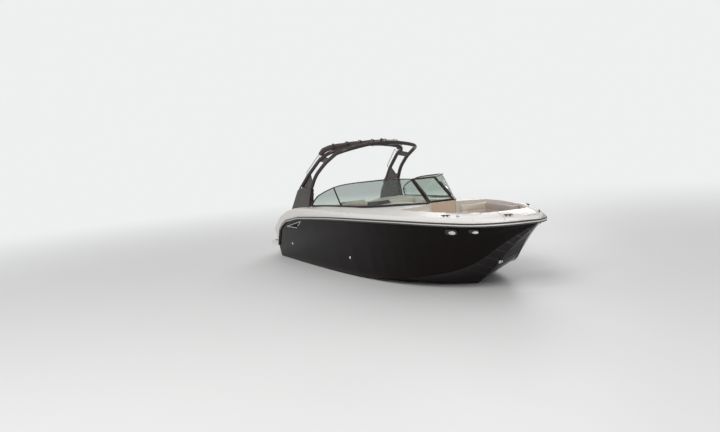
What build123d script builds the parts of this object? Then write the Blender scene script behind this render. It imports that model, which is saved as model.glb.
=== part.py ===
from build123d import *
from math import atan2, cos, degrees, hypot, pi, radians, sin
import os

# An open bow speedboat with a stern drive, a folding arch and a wraparound windscreen.
# Millimetres. X runs forward from the transom, Y to port, Z up from the waterline at rest.
os.makedirs("parts", exist_ok=True)

# Outer body
STATIONS = [
    # sheer x, sheer half breadth, sheer z, keel x, keel z, chine half breadth, chine z, fullness, deck edge z, crown
    (0, 1205, 830, 0, -430, 1020, -30, 18, 1040, 10),
    (1500, 1236, 938, 1500, -430, 1050, -25, 18, 1130, 20),
    (3000, 1256, 1018, 3000, -425, 1045, 0, 10, 1145, 40),
    (4300, 1240, 1060, 4200, -360, 985, 60, 0, 1155, 60),
    (5250, 1140, 1076, 5000, -262, 850, 150, -14, 1165, 30),
    (5950, 915, 1062, 5600, -45, 640, 260, -26, 1160, 20),
    (6500, 640, 1048, 6100, 290, 400, 430, -26, 1155, 15),
    (6900, 340, 1062, 6600, 700, 180, 770, -12, 1145, 10),
    (7150, 30, 1085, 7150, 1060, 16, 1066, 0, 1110, 4),
]
STEPS = [2, 2, 2, 3, 3, 3, 3, 3]
CHINE_FLAT_SHARE = 0.055
CHINE_DROP = 8
LOW_CREASE = 0.62
HIGH_CREASE = 0.76
CREASE_STEP = 12
DECK_EDGE_INSET = 62
DECK_EDGE_ROUND = 40
SHOULDER_INSET = 22
GUNWALE_WIDTH = 320
GUNWALE_RISE = 55
BODY_REACH = 1600
STERN_SHEER = [(0, 200), (350, 610), (800, 830)]
QUARTER_TOP = [(0, 620), (440, 910), (750, 1020), (1050, 1090), (1300, 1135), (1800, 1175)]

# Rub rail
RAIL_HEIGHT = 56
RAIL_PROUD = 26
RAIL_ROOT = 34
INSERT_HEIGHT = 16
INSERT_PROUD = 4
RAIL_TIP_X = 7154

# Cockpit, walkway and bow well
LINER_WALL = 12
SOLE_Z = 280
BOW_SOLE_Z = 420
BOW_SEAT_Z = 720
BOW_RIM_Z = 1070
COCKPIT_AFT_X = 1300
COCKPIT_OPEN_X = 3750
CONSOLE_FORE_X = 4790
BULKHEAD_FORE_X = 4870
COCKPIT_HALF = 930
CONSOLE_ROOF_Z = 1095
AISLE_HALF = 245
FOOTWELL_HALF = 300
FOOTWELL_FORE_X = 5850
BOW_SEAT_FORE_X = 6200
BOW_WELL = [(4870, 870), (5300, 815), (5700, 730), (6100, 590), (6400, 440), (6600, 240), (6660, 90)]
CORNER_R = 90
ABOVE_DECK_Z = 1500

# Engine bay and its hatch
BAY_AFT_X = 160
BAY_FORE_X = 1200
BAY_HALF = 640
BAY_FLOOR_Z = -130
HATCH_AFT_X = 100
HATCH_FORE_X = 1255
HATCH_HALF = 700
HATCH_THICK = 35
HATCH_GAP = 6
ISLAND_HALF = 760
ISLAND_AFT_Z = 795
ISLAND_FORE_Z = 935
ENGINE_SIZE = (820, 620, 600)
ENGINE_X = 640
SUNPAD_THICK = 105
SUNPAD_AFT_X = 190
SUNPAD_FORE_X = 1235
SUNPAD_HALF = 670

# Clearances of pieces that rest on each other, of pins, and of the knuckles of a hinge
SEAT_GAP = 0.3
PIN_CLEAR = 0.05
KNUCKLE_CLEAR = 1


def along(low, high, share):
    return low + (high - low) * share


def eased(before, low, high, after, share):
    """Value between low and high on a curve that also heeds the values either side."""
    return 0.5 * (
        2 * low + (high - before) * share
        + (2 * before - 5 * low + 4 * high - after) * share ** 2
        + (3 * low - before - 3 * high + after) * share ** 3
    )


def faired(rows, steps):
    """The stations with eased ones between them, steps of them from each to the next."""
    ends = [[2 * a - b for a, b in zip(rows[0], rows[1])]]
    ends = ends + [list(row) for row in rows] + [[2 * a - b for a, b in zip(rows[-1], rows[-2])]]
    out = []
    for four, count in zip(zip(ends, ends[1:], ends[2:], ends[3:]), steps):
        for step in range(count):
            out.append([eased(*values, step / count) for values in zip(*four)])
    return out + [list(rows[-1])]


def half_section(row):
    """Half outline of one station, from the keel to the deck's middle, as points."""
    sheer_x, sheer_y, sheer_z, keel_x, keel_z, chine_y, chine_z, fullness, deck_z, crown = row
    small = min(1, sheer_y / 500)
    flat_y = chine_y * (1 + CHINE_FLAT_SHARE)
    flat_z = chine_z - CHINE_DROP * small
    outline = [(0, keel_z), (chine_y, chine_z), (flat_y, flat_z)]
    for share, step in ((LOW_CREASE, 0), (HIGH_CREASE, CREASE_STEP * small)):
        bulge = fullness * 4 * share * (1 - share) + step
        outline.append((along(flat_y, sheer_y, share) + bulge, along(flat_z, sheer_z, share)))
    outline.append((sheer_y, sheer_z))
    low_points = [
        (along(keel_x, sheer_x, (z - keel_z) / (sheer_z - keel_z)), y, z) for y, z in outline
    ]
    rim_y = sheer_y - GUNWALE_WIDTH * min(1, sheer_y / 600) if sheer_y > 60 else sheer_y * 0.4
    rim_z = deck_z + GUNWALE_RISE * small
    high_points = [
        (sheer_x, sheer_y - SHOULDER_INSET * small, deck_z - DECK_EDGE_ROUND * small),
        (sheer_x, sheer_y - DECK_EDGE_INSET * small, deck_z),
        (sheer_x, rim_y, rim_z),
        (sheer_x, 0, rim_z + crown),
    ]
    return low_points + high_points


def full_section(row):
    half = half_section(row)
    other = [(x, -y, z) for x, y, z in reversed(half[1:-1])]
    return Wire.make_polygon([Vector(*p) for p in half + other], close=True)


def between_stations(x, pick):
    """Value of one picked quantity at x, straight from station to station."""
    for low, high in zip(FAIRED, FAIRED[1:]):
        if x <= high[0] or high is FAIRED[-1]:
            share = (x - low[0]) / (high[0] - low[0])
            return along(pick(low), pick(high), share)


def side_half(x, z):
    """Half breadth of the body's side at x and height z."""
    def pick(row):
        points = half_section(row)
        for (_, y0, z0), (_, y1, z1) in zip(points[2:], points[3:]):
            if z0 <= z <= z1:
                return along(y0, y1, (z - z0) / (z1 - z0))
        return row[1]
    return between_stations(x, pick)


def deck_height(x, y):
    """Height of the deck at x and y, near enough to place what is then trimmed to it."""
    def pick(row):
        points = half_section(row)[-4:]
        for (_, y0, z0), (_, y1, z1) in zip(points, points[1:]):
            if y1 <= abs(y) <= y0:
                return along(z0, z1, (y0 - abs(y)) / (y0 - y1))
        return points[0][2]
    return between_stations(x, pick)


def quarter_height(x):
    """Height of the stern quarter's top edge at x."""
    for (x0, z0), (x1, z1) in zip(QUARTER_TOP, QUARTER_TOP[1:]):
        if x0 <= x <= x1:
            return along(z0, z1, (x - x0) / (x1 - x0))
    return QUARTER_TOP[-1][1]


def prism(outline, z0, z1, corner=0):
    """Upright prism on a plan outline of x and y points."""
    face = make_face(Polyline(*[(x, y, 0) for x, y in outline], close=True))
    if corner:
        face = fillet(face.vertices(), corner)
    return Pos(0, 0, z0) * extrude(face, z1 - z0, dir=(0, 0, 1))


def side_prism(outline, y0, y1):
    """Prism across the boat on a side outline of x and z points."""
    face = make_face(Polyline(*[(x, y0, z) for x, z in outline], close=True))
    return extrude(face, y1 - y0, dir=(0, 1, 0))


def block(x0, x1, y0, y1, z0, z1):
    return prism([(x0, y0), (x1, y0), (x1, y1), (x0, y1)], z0, z1)


def both_sides(solid):
    return solid + mirror(solid, about=Plane.XZ)


def pair(solid):
    """A like piece on each side, as solids that don't touch."""
    return Compound(children=[*solid.solids(), *mirror(solid, about=Plane.XZ).solids()])


def bar(points, radius, bends):
    """Round bar along points, with one bend radius for each inner point."""
    if len(points) > 2:
        path = FilletPolyline(*points, radius=bends)
    else:
        path = Line(*points)
    return sweep(Plane(origin=path @ 0, z_dir=path % 0) * Circle(radius), path=path)


def band(sections, ruled=True):
    return Solid.make_loft(
        [Wire.make_polygon([Vector(*p) for p in s], close=True) for s in sections], ruled
    )


def crosswise(x, z, radius, y0, y1):
    """Cylinder across the boat, from y0 to y1."""
    return Pos(x, (y0 + y1) / 2, z) * Rot(90, 0, 0) * Cylinder(radius, y1 - y0)


def hinged(fixed, moving, origin, axis, radius, length):
    """Both pieces with knuckles about one axis: the fixed one's at the ends, with the pin."""
    def run(r, start, end):
        return Plane(origin=origin + axis * start, z_dir=axis) * Cylinder(
            r, end - start, align=(Align.CENTER, Align.CENTER, Align.MIN))
    low, high = length * 0.3, length * 0.7
    room, pin = radius + KNUCKLE_CLEAR, radius / 2
    fixed = fixed - run(room, low, high)
    fixed = fixed + run(radius, 0, low) + run(radius, high, length) + run(pin, 0, length)
    moving = moving - run(room, -2, low + SEAT_GAP) - run(room, high - SEAT_GAP, length + 2)
    moving = moving + run(radius, low + SEAT_GAP, high - SEAT_GAP)
    return fixed, moving - run(pin + PIN_CLEAR, -2, length + 2)


def foil(rows):
    """Upright piece through lens shaped sections, each as height, fore end, aft end and half width."""
    sections = []
    for z, fore, aft, half in rows:
        side = [(fore, 0.1), (along(fore, aft, 0.1), 0.6), (along(fore, aft, 0.35), 1),
                (along(fore, aft, 0.65), 0.9), (aft, 0.12)]
        side = [(x, half * share) for x, share in side]
        sections.append([(x, y, z) for x, y in side + [(x, -y) for x, y in reversed(side)]])
    return band(sections)


def save(name, shape):
    export_step(shape, f"parts/{name}.step")


FAIRED = faired(STATIONS, STEPS)
body = Solid.make_loft([full_section(row) for row in FAIRED], True)

# Sheer line, which sweeps down round the stern
sheer_line = STERN_SHEER + [(row[0], row[2]) for row in FAIRED if row[0] > STERN_SHEER[-1][0]]
below_sheer = side_prism(
    [(-100, 130)] + sheer_line + [(7400, 1095), (7400, -900), (-100, -900)],
    -BODY_REACH, BODY_REACH,
)
quarter_cut = side_prism(
    [(-100, 530)] + QUARTER_TOP + [(1800, 1500), (-100, 1500)], -BODY_REACH, BODY_REACH
)
island_line = [(-100, ISLAND_AFT_Z), (COCKPIT_AFT_X, ISLAND_FORE_Z)]
island_cut = side_prism(
    island_line + [(COCKPIT_AFT_X, 1500), (-100, 1500)], -ISLAND_HALF, ISLAND_HALF
)
island_keep = side_prism(
    [(-100, 300), (COCKPIT_AFT_X, 300), (COCKPIT_AFT_X, 1500), (-100, 1500)],
    -ISLAND_HALF, ISLAND_HALF,
)
body = body - (quarter_cut - island_keep) - island_cut

# Wells, each as plan outline, floor, ceiling and corner radius
well_edge = BOW_WELL + [(x, -y) for x, y in reversed(BOW_WELL)]
seat_edge = [p for p in BOW_WELL if p[0] < BOW_SEAT_FORE_X] + [(BOW_SEAT_FORE_X, 520)]
seat_edge = seat_edge + [(x, -y) for x, y in reversed(seat_edge)]
WELLS = [
    ([(COCKPIT_AFT_X, -COCKPIT_HALF), (CONSOLE_FORE_X, -COCKPIT_HALF),
      (CONSOLE_FORE_X, COCKPIT_HALF), (COCKPIT_AFT_X, COCKPIT_HALF)],
     SOLE_Z, CONSOLE_ROOF_Z, CORNER_R),
    ([(COCKPIT_AFT_X, -COCKPIT_HALF), (COCKPIT_OPEN_X, -COCKPIT_HALF),
      (COCKPIT_OPEN_X, COCKPIT_HALF), (COCKPIT_AFT_X, COCKPIT_HALF)],
     SOLE_Z + 100, ABOVE_DECK_Z, CORNER_R),
    ([(COCKPIT_OPEN_X - 300, -AISLE_HALF), (BULKHEAD_FORE_X + 40, -AISLE_HALF),
      (BULKHEAD_FORE_X + 40, AISLE_HALF), (COCKPIT_OPEN_X - 300, AISLE_HALF)],
     BOW_SOLE_Z, ABOVE_DECK_Z, 0),
    ([(BULKHEAD_FORE_X, -FOOTWELL_HALF), (FOOTWELL_FORE_X, -FOOTWELL_HALF),
      (FOOTWELL_FORE_X, FOOTWELL_HALF), (BULKHEAD_FORE_X, FOOTWELL_HALF)],
     BOW_SOLE_Z, ABOVE_DECK_Z, 0),
    (seat_edge, BOW_SEAT_Z, ABOVE_DECK_Z, 0),
    (well_edge, BOW_RIM_Z, ABOVE_DECK_Z, 0),
]
cavity = None
liner_block = None
for outline, floor_z, ceiling_z, corner in WELLS:
    space = prism(outline, floor_z, ceiling_z, corner)
    face = make_face(Polyline(*[(x, y, 0) for x, y in outline], close=True))
    if corner:
        face = fillet(face.vertices(), corner)
    grown = offset(face, LINER_WALL, kind=Kind.INTERSECTION)
    top = ceiling_z if ceiling_z == ABOVE_DECK_Z else ceiling_z + LINER_WALL
    wall = Pos(0, 0, floor_z - LINER_WALL) * extrude(grown, top - floor_z + LINER_WALL, dir=(0, 0, 1))
    cavity = space if cavity is None else cavity + space
    liner_block = wall if liner_block is None else liner_block + wall

cockpit_liner = (liner_block & body) - cavity

bay = block(BAY_AFT_X, BAY_FORE_X, -BAY_HALF, BAY_HALF, BAY_FLOOR_Z, ABOVE_DECK_Z)


def island_z(x):
    return along(ISLAND_AFT_Z, ISLAND_FORE_Z, (x + 100) / (COCKPIT_AFT_X + 100))


def island_slab(x0, x1, half, low, high):
    """Piece that follows the stern island's sloping top, from low to high above it."""
    return side_prism(
        [(x0, island_z(x0) + low), (x1, island_z(x1) + low),
         (x1, island_z(x1) + high), (x0, island_z(x0) + high)], -half, half,
    )


hatch_seat = island_slab(HATCH_AFT_X, HATCH_FORE_X, HATCH_HALF, -HATCH_THICK, 500)
engine_hatch = island_slab(
    HATCH_AFT_X + HATCH_GAP, HATCH_FORE_X - HATCH_GAP, HATCH_HALF - HATCH_GAP, SEAT_GAP - HATCH_THICK, 0
)
HATCH_AXIS_X = HATCH_AFT_X - 5
HATCH_AXIS_Z = island_z(HATCH_AXIS_X) + 7.5
HATCH_KNUCKLE_R = 8
HATCH_HINGE_HALF = 450
HATCH_LEAF = 55
hatch_leaf = island_slab(HATCH_AXIS_X, HATCH_AXIS_X + HATCH_LEAF, HATCH_HINGE_HALF, 1, 7)
hatch_leaf += island_slab(
    HATCH_AFT_X + HATCH_GAP, HATCH_AXIS_X + HATCH_LEAF, HATCH_HINGE_HALF, -2, 2)
island_leaf = island_slab(HATCH_AXIS_X - HATCH_LEAF, HATCH_AXIS_X, HATCH_HINGE_HALF, -2, 7)
save("sunpad_cushion", island_slab(SUNPAD_AFT_X, SUNPAD_FORE_X, SUNPAD_HALF, SEAT_GAP, SUNPAD_THICK))
save("engine_block", block(
    ENGINE_X - ENGINE_SIZE[0] / 2, ENGINE_X + ENGINE_SIZE[0] / 2, -ENGINE_SIZE[1] / 2, ENGINE_SIZE[1] / 2,
    BAY_FLOOR_Z + SEAT_GAP, BAY_FLOOR_Z + ENGINE_SIZE[2],
))

# Anchor locker in the foredeck, with a thin lid that follows the deck and is hinged at its fore edge
LOCKER = [(6765, 225), (6990, 95)]
LOCKER_FLOOR_Z = 1075
LID_LIP = 28
LID_SIDE_LIP = 30
LID_THICK = 26
LID_GAP = 5
locker_edge = LOCKER + [(x, -y) for x, y in reversed(LOCKER)]
locker_space = prism(locker_edge, LOCKER_FLOOR_Z, ABOVE_DECK_Z)
lid_edge = [(LOCKER[0][0] - LID_LIP, LOCKER[0][1] + LID_SIDE_LIP),
            (LOCKER[1][0] + LID_LIP, LOCKER[1][1] + LID_SIDE_LIP / 2)]
lid_edge = lid_edge + [(x, -y) for x, y in reversed(lid_edge)]
foredeck = body & prism(lid_edge, LOCKER_FLOOR_Z, ABOVE_DECK_Z)
lid_hole = foredeck - Pos(0, 0, -LID_THICK - SEAT_GAP) * foredeck
lid_face = make_face(Polyline(*[(x, y, LOCKER_FLOOR_Z) for x, y in lid_edge], close=True))
lid_room = extrude(offset(lid_face, -LID_GAP, kind=Kind.INTERSECTION), 400, dir=(0, 0, 1))
anchor_hatch = (foredeck & lid_room) - Pos(0, 0, -LID_THICK) * foredeck
anchor_hatch = max(anchor_hatch.solids(), key=lambda piece: piece.volume)
LID_HINGE_X = lid_edge[1][0] - 3
LID_HINGE_Z = deck_height(LID_HINGE_X, 0) + 4
LID_KNUCKLE_R = 8
LID_HINGE_HALF = 75
LID_SWING_R = 46
lid_swing = crosswise(LID_HINGE_X, LID_HINGE_Z, LID_SWING_R, -LOCKER[0][1], LOCKER[0][1])
lid_swing = lid_swing & prism(lid_edge, LOCKER_FLOOR_Z, ABOVE_DECK_Z)
print("anchor hatch axis", LID_HINGE_X, LID_HINGE_Z)

deck = body - below_sheer - liner_block - bay - hatch_seat - locker_space - lid_hole - lid_swing
deck, anchor_hatch = hinged(
    deck, anchor_hatch, Vector(LID_HINGE_X, -LID_HINGE_HALF, LID_HINGE_Z), Vector(0, 1, 0),
    LID_KNUCKLE_R, 2 * LID_HINGE_HALF,
)
deck, engine_hatch = hinged(
    deck + island_leaf, engine_hatch + hatch_leaf, Vector(HATCH_AXIS_X, -HATCH_HINGE_HALF, HATCH_AXIS_Z),
    Vector(0, 1, 0), HATCH_KNUCKLE_R, 2 * HATCH_HINGE_HALF,
)
save("anchor_hatch", anchor_hatch)
save("engine_hatch", engine_hatch)
print("engine hatch axis", HATCH_AXIS_X, HATCH_AXIS_Z)
VENT = [(770, 720), (1645, 888), (1370, 723)]
VENT_DEEP = 40
VENT_RIM = 16
VENT_HOLLOW = 24
VENT_SLATS = 4
vent_side = side_half(1200, 760)
vent_block = side_prism(VENT, -BODY_REACH, -vent_side + VENT_DEEP)
vent_face = make_face(Polyline(*[(x, -BODY_REACH, z) for x, z in VENT], close=True))
vent_hollow = extrude(
    offset(vent_face, -VENT_RIM, kind=Kind.INTERSECTION), BODY_REACH - vent_side + VENT_HOLLOW, dir=(0, 1, 0))
hull = (body & below_sheer) - liner_block - bay - hatch_seat
side_vent = hull & vent_block
slats = None
for k in range(VENT_SLATS):
    x = along(VENT[0][0], VENT[2][0], (k + 1.5) / (VENT_SLATS + 1))
    slat = side_prism([(x, 600), (x + 14, 600), (x + 234, 950), (x + 220, 950)],
                      -vent_side + VENT_HOLLOW - 16, -vent_side + VENT_HOLLOW)
    slats = slat if slats is None else slats + slat
side_vent = side_vent - (vent_hollow - slats)
hull = hull - both_sides(vent_block)

# Lifting strakes along the bottom, each as share of the way to the chine and fore end
STRAKES = [(0.42, 5500), (0.74, 5250)]
STRAKE_WIDE = 44
STRAKE_DROP = 20
strakes = []
for share, fore_x in STRAKES:
    sections = []
    for row in FAIRED:
        if row[0] > fore_x + 1:
            continue
        keel, chine = half_section(row)[:2]
        drop = STRAKE_DROP * min(1, 0.15 + (fore_x - row[0]) / 900)
        inner = [along(k, c, share) for k, c in zip(keel, chine)]
        outer = [along(k, c, share + STRAKE_WIDE / chine[1]) for k, c in zip(keel, chine)]
        sections.append([
            (inner[0], -inner[1], inner[2] + 4), (outer[0], -outer[1], outer[2] + 4),
            (outer[0], -outer[1], outer[2] - drop), (inner[0], -inner[1], inner[2]),
        ])
    strakes.append(max((band(sections) - hull).solids(), key=lambda piece: piece.volume))
save("hull_strakes", pair(Compound(children=strakes)))
save("side_vents", pair(side_vent))
save("deck", deck)
save("hull", hull)

# Rub rail with its light insert
RAIL_START = [(36, 262), (120, 370), (350, 610), (560, 735), (800, 830)]
RAIL_POINTS = [(x, -side_half(x, z), z) for x, z in RAIL_START]
RAIL_POINTS += [(row[0], -row[1], row[2]) for row in FAIRED if 800 < row[0] < 7100]
RAIL_POINTS += [(7110, -75, 1080), (RAIL_TIP_X, 0, 1084)]


def rail_sections(inner, outer, height):
    sections = []
    for i, point in enumerate(RAIL_POINTS):
        before = RAIL_POINTS[max(i - 1, 0)]
        after = RAIL_POINTS[i + 1] if i + 1 < len(RAIL_POINTS) else (point[0], -before[1], point[2])
        if i + 1 == len(RAIL_POINTS):
            before = (point[0], before[1], point[2])
        along_x, along_y, along_z = (b - a for a, b in zip(before, after))
        flat = hypot(along_x, along_y)
        length = hypot(flat, along_z)
        out = (along_y / flat, -along_x / flat)
        up = (-along_x * along_z / flat / length, -along_y * along_z / flat / length, flat / length)
        sections.append([
            (point[0] + out[0] * o + up[0] * h, point[1] + out[1] * o + up[1] * h, point[2] + up[2] * h)
            for o, h in ((-inner, -height / 2), (outer, -height / 2), (outer, height / 2), (-inner, height / 2))
        ])
    return sections


rail_half = band(rail_sections(RAIL_ROOT, RAIL_PROUD, RAIL_HEIGHT))
insert_half = band(rail_sections(-RAIL_PROUD / 2, RAIL_PROUD + INSERT_PROUD, INSERT_HEIGHT))
outer_body = deck + hull
rail = both_sides(rail_half) - outer_body
insert = both_sides(insert_half)
save("rub_rail", rail - insert)
save("rail_insert", insert - outer_body)

# Windscreen: pairs of base and top points along the starboard side, from aft to the centre post
SCREEN_ROWS = [
    # base x, base y, base z, top x, top y, top z
    (1870, -1062, 0, 1880, -1058, 60),
    (2300, -990, 0, 2000, -985, 190),
    (2930, -947, 0, 2545, -893, 342),
    (3340, -925, 0, 3000, -805, 405),
    (3750, -895, 0, 3570, -740, 440),
    (4010, -800, 0, 3850, -665, 450),
    (4280, -650, 0, 4060, -560, 450),
    (4590, -440, 0, 4200, -400, 430),
    (4822, -262, 0, 4290, -248, 410),
]
SCREEN = faired(SCREEN_ROWS, [2, 2, 2, 2, 2, 2, 2, 1])
MULLION = 4
FRAME_DEEP = 24
BASE_TALL = 34
TOP_TALL = 22
GLASS_THICK = 6
base_points = [(x, y, deck_height(x, y) + 6) for x, y, _, _, _, _ in SCREEN]
top_points = [(tx, ty, deck_height(x, y) + rise) for x, y, _, tx, ty, rise in SCREEN]


def screen_frame(i):
    """Unit directions at one pair: outward in plan, and from base to top."""
    before, after = base_points[max(i - 1, 0)], base_points[min(i + 1, len(SCREEN) - 1)]
    dx, dy = after[0] - before[0], after[1] - before[1]
    flat = hypot(dx, dy)
    rise = [t - b for b, t in zip(base_points[i], top_points[i])]
    length = hypot(*rise)
    return (dy / flat, -dx / flat, 0), [r / length for r in rise]


def screen_strip(points, low, high, deep, indices):
    sections = []
    for i in indices:
        out, rise = screen_frame(i)
        sections.append([
            tuple(p + o * side * deep / 2 + r * up for p, o, r in zip(points[i], out, rise))
            for side, up in ((-1, low), (1, low), (1, high), (-1, high))
        ])
    return band(sections)


def screen_post(i, wide):
    """Upright member from base to top, wide along the screen."""
    out, rise = screen_frame(i)
    side = (-out[1], out[0], 0)
    sections = []
    for point in (base_points[i], top_points[i]):
        sections.append([
            tuple(p + o * a * FRAME_DEEP / 2 + s * b * wide / 2 for p, o, s in zip(point, out, side))
            for a, b in ((-1, -1), (1, -1), (1, 1), (-1, 1))
        ])
    return band(sections)


every = range(len(SCREEN))
screen = screen_strip(base_points, -24, BASE_TALL, FRAME_DEEP, every)
screen += screen_strip(top_points, -TOP_TALL / 2, TOP_TALL / 2, FRAME_DEEP, every)
screen += screen_post(MULLION, 20)
screen += screen_post(len(SCREEN) - 1, 26)
glass = band([
    [tuple(b + o * s * GLASS_THICK / 2 for b, o in zip(p, screen_frame(i)[0]))
     for p, s in ((base_points[i], -1), (base_points[i], 1), (top_points[i], 1), (top_points[i], -1))]
    for i in every
])
screen_frame_half = screen - deck - cockpit_liner
panes = [piece for piece in (glass - screen - deck - cockpit_liner).solids() if piece.volume > 20000]
save("windscreen_glass", pair(Compound(children=panes)))

# Centre pane of the windscreen, a door between the two posts
DOOR_GAP = 6
DOOR_FRAME = 26
DOOR_THICK = 20
post_base, post_top = base_points[-1], top_points[-1]
door_low = Vector(post_base[0], 0, post_base[2] + 18)
door_high = Vector(post_top[0], 0, post_top[2])
door_rise = (door_high - door_low).normalized()
door_plane = Plane(origin=door_low, x_dir=(0, 1, 0), z_dir=Vector(0, 1, 0).cross(door_rise))
door_length = (door_high - door_low).length
half_low = -post_base[1] - 13 - DOOR_GAP
half_high = -post_top[1] - 13 - DOOR_GAP
door_outline = [(-half_low, 0), (half_low, 0), (half_high, door_length), (-half_high, door_length)]
door_face = door_plane * make_face(Polyline(*door_outline, close=True))
door_hole = door_plane * make_face(Polyline(
    (-half_low + DOOR_FRAME, DOOR_FRAME), (half_low - DOOR_FRAME, DOOR_FRAME),
    (half_high - DOOR_FRAME, door_length - DOOR_FRAME), (-half_high + DOOR_FRAME, door_length - DOOR_FRAME),
    close=True,
))
door_out = door_plane.z_dir
door_solid = extrude(door_face, DOOR_THICK / 2, dir=door_out, both=True)
door_opening = extrude(door_hole, DOOR_THICK, dir=door_out, both=True)
save("windscreen_door_glass", extrude(door_hole, GLASS_THICK / 2, dir=door_out, both=True))

# The pane's hinge, in front of its port edge, and the leaf on the post beside it
DOOR_HINGE_OUT = 14
DOOR_KNUCKLE_R = 6
DOOR_LEAF = 27
DOOR_HINGE_START = 130
DOOR_HINGE_LONG = 360
door_axis = door_low + Vector(0, half_low, 0) + door_out * DOOR_HINGE_OUT
print("windscreen door axis", door_axis, door_rise)
door_frame = door_solid - door_opening
leaf_plane = Plane(origin=door_axis + door_rise * DOOR_HINGE_START, x_dir=(0, 1, 0), z_dir=door_rise)
post_leaf = leaf_plane * Pos(0, 4.5, 0) * Box(
    DOOR_LEAF, 15, DOOR_HINGE_LONG, align=(Align.MIN, Align.CENTER, Align.MIN))
door_frame += leaf_plane * Pos(0, 1, 0) * Box(
    DOOR_LEAF, 8, DOOR_HINGE_LONG, align=(Align.MAX, Align.CENTER, Align.MIN))
port_frame = mirror(screen_frame_half, about=Plane.XZ)
port_frame, door_frame = hinged(
    port_frame + post_leaf, door_frame, door_axis + door_rise * DOOR_HINGE_START, door_rise,
    DOOR_KNUCKLE_R, DOOR_HINGE_LONG,
)
save("windscreen_frame", Compound(children=[*screen_frame_half.solids(), *port_frame.solids()]))
save("windscreen_door_frame", door_frame)

# Lower door of the walkway
WIND_DOOR_X = 4836
WIND_DOOR_THICK = 24
WIND_DOOR_TOP_Z = 1258
WIND_KNUCKLE_R = 7
WIND_AXIS = (WIND_DOOR_X + WIND_DOOR_THICK + 6, AISLE_HALF - 12)
WIND_HINGE_Z = 620
WIND_HINGE_LONG = 420
wind_door = block(WIND_DOOR_X, WIND_DOOR_X + WIND_DOOR_THICK, -AISLE_HALF + 6, AISLE_HALF - 6,
                  BOW_SOLE_Z + 8, WIND_DOOR_TOP_Z)
wind_leaf = block(WIND_AXIS[0] - 4, WIND_AXIS[0] + 4, WIND_AXIS[1], AISLE_HALF + 2,
                  WIND_HINGE_Z, WIND_HINGE_Z + WIND_HINGE_LONG)
cockpit_liner, wind_door = hinged(
    cockpit_liner + wind_leaf, wind_door, Vector(*WIND_AXIS, WIND_HINGE_Z), Vector(0, 0, 1),
    WIND_KNUCKLE_R, WIND_HINGE_LONG,
)
save("cockpit_liner", cockpit_liner)
save("wind_door", wind_door)
print("walkway door axis", WIND_AXIS)

# Consoles under the deck, either side of the walkway
ROOM_GAP = 4
cockpit_room = prism(
    [(COCKPIT_AFT_X + ROOM_GAP, -COCKPIT_HALF + ROOM_GAP), (CONSOLE_FORE_X - ROOM_GAP, -COCKPIT_HALF + ROOM_GAP),
     (CONSOLE_FORE_X - ROOM_GAP, COCKPIT_HALF - ROOM_GAP), (COCKPIT_AFT_X + ROOM_GAP, COCKPIT_HALF - ROOM_GAP)],
    SOLE_Z, ABOVE_DECK_Z, CORNER_R)
CONSOLE_INNER = 300
CONSOLE_OUTER = COCKPIT_HALF - ROOM_GAP
CONSOLE_AFT_X = 3640
console_side = [(CONSOLE_AFT_X + 240, SOLE_Z + SEAT_GAP), (CONSOLE_FORE_X - 2, SOLE_Z + SEAT_GAP),
                (CONSOLE_FORE_X - 2, CONSOLE_ROOF_Z - SEAT_GAP), (COCKPIT_OPEN_X - 30, CONSOLE_ROOF_Z - SEAT_GAP),
                (CONSOLE_AFT_X, 1060), (CONSOLE_AFT_X + 20, 980), (CONSOLE_AFT_X + 160, 800)]
helm_console = side_prism(console_side, -CONSOLE_OUTER, -CONSOLE_INNER) & cockpit_room
helm_console -= block(CONSOLE_AFT_X, 4500, -CONSOLE_OUTER + 60, -CONSOLE_INNER - 40, SOLE_Z - 10, 790)
save("helm_console", helm_console)
HEAD_DOOR_X = (3990, 4560)
HEAD_DOOR_Z = (330, 1040)
port_console = side_prism(console_side, CONSOLE_INNER, CONSOLE_OUTER) & cockpit_room
port_console -= block(3900, 4740, CONSOLE_INNER + 30, CONSOLE_OUTER - 40, 320, 1060)
port_console -= block(HEAD_DOOR_X[0], HEAD_DOOR_X[1], CONSOLE_INNER - 10, CONSOLE_INNER + 40, *HEAD_DOOR_Z)
console_door = block(HEAD_DOOR_X[0] + 5, HEAD_DOOR_X[1] - 5, CONSOLE_INNER + 2, CONSOLE_INNER + 24,
                     HEAD_DOOR_Z[0] + 5, HEAD_DOOR_Z[1] - 5)
HEAD_KNUCKLE_R = 6
HEAD_AXIS = (HEAD_DOOR_X[1] - 2, CONSOLE_INNER - 7)
HEAD_LEAF = 30
HEAD_HINGE_Z = 480
HEAD_HINGE_LONG = 400
head_leaf_z = (HEAD_HINGE_Z, HEAD_HINGE_Z + HEAD_HINGE_LONG)
door_leaf = block(HEAD_AXIS[0] - HEAD_LEAF, HEAD_AXIS[0], HEAD_AXIS[1] - 3, CONSOLE_INNER + 3, *head_leaf_z)
side_leaf = block(HEAD_AXIS[0], HEAD_AXIS[0] + HEAD_LEAF, HEAD_AXIS[1] - 3, CONSOLE_INNER + 1, *head_leaf_z)
port_console, console_door = hinged(
    port_console + side_leaf, console_door + door_leaf, Vector(*HEAD_AXIS, HEAD_HINGE_Z), Vector(0, 0, 1),
    HEAD_KNUCKLE_R, HEAD_HINGE_LONG,
)
save("port_console", port_console)
save("console_door", console_door)
print("console door axis", HEAD_AXIS)
INSTRUMENT = [(3655, CONSOLE_ROOF_Z), (3742, CONSOLE_ROOF_Z), (3742, 1240), (3680, 1290), (3640, 1215)]
INSTRUMENT_OUTER = COCKPIT_HALF - 140
save("instrument_panel", side_prism(INSTRUMENT, -INSTRUMENT_OUTER, -CONSOLE_INNER - 60))

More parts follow.
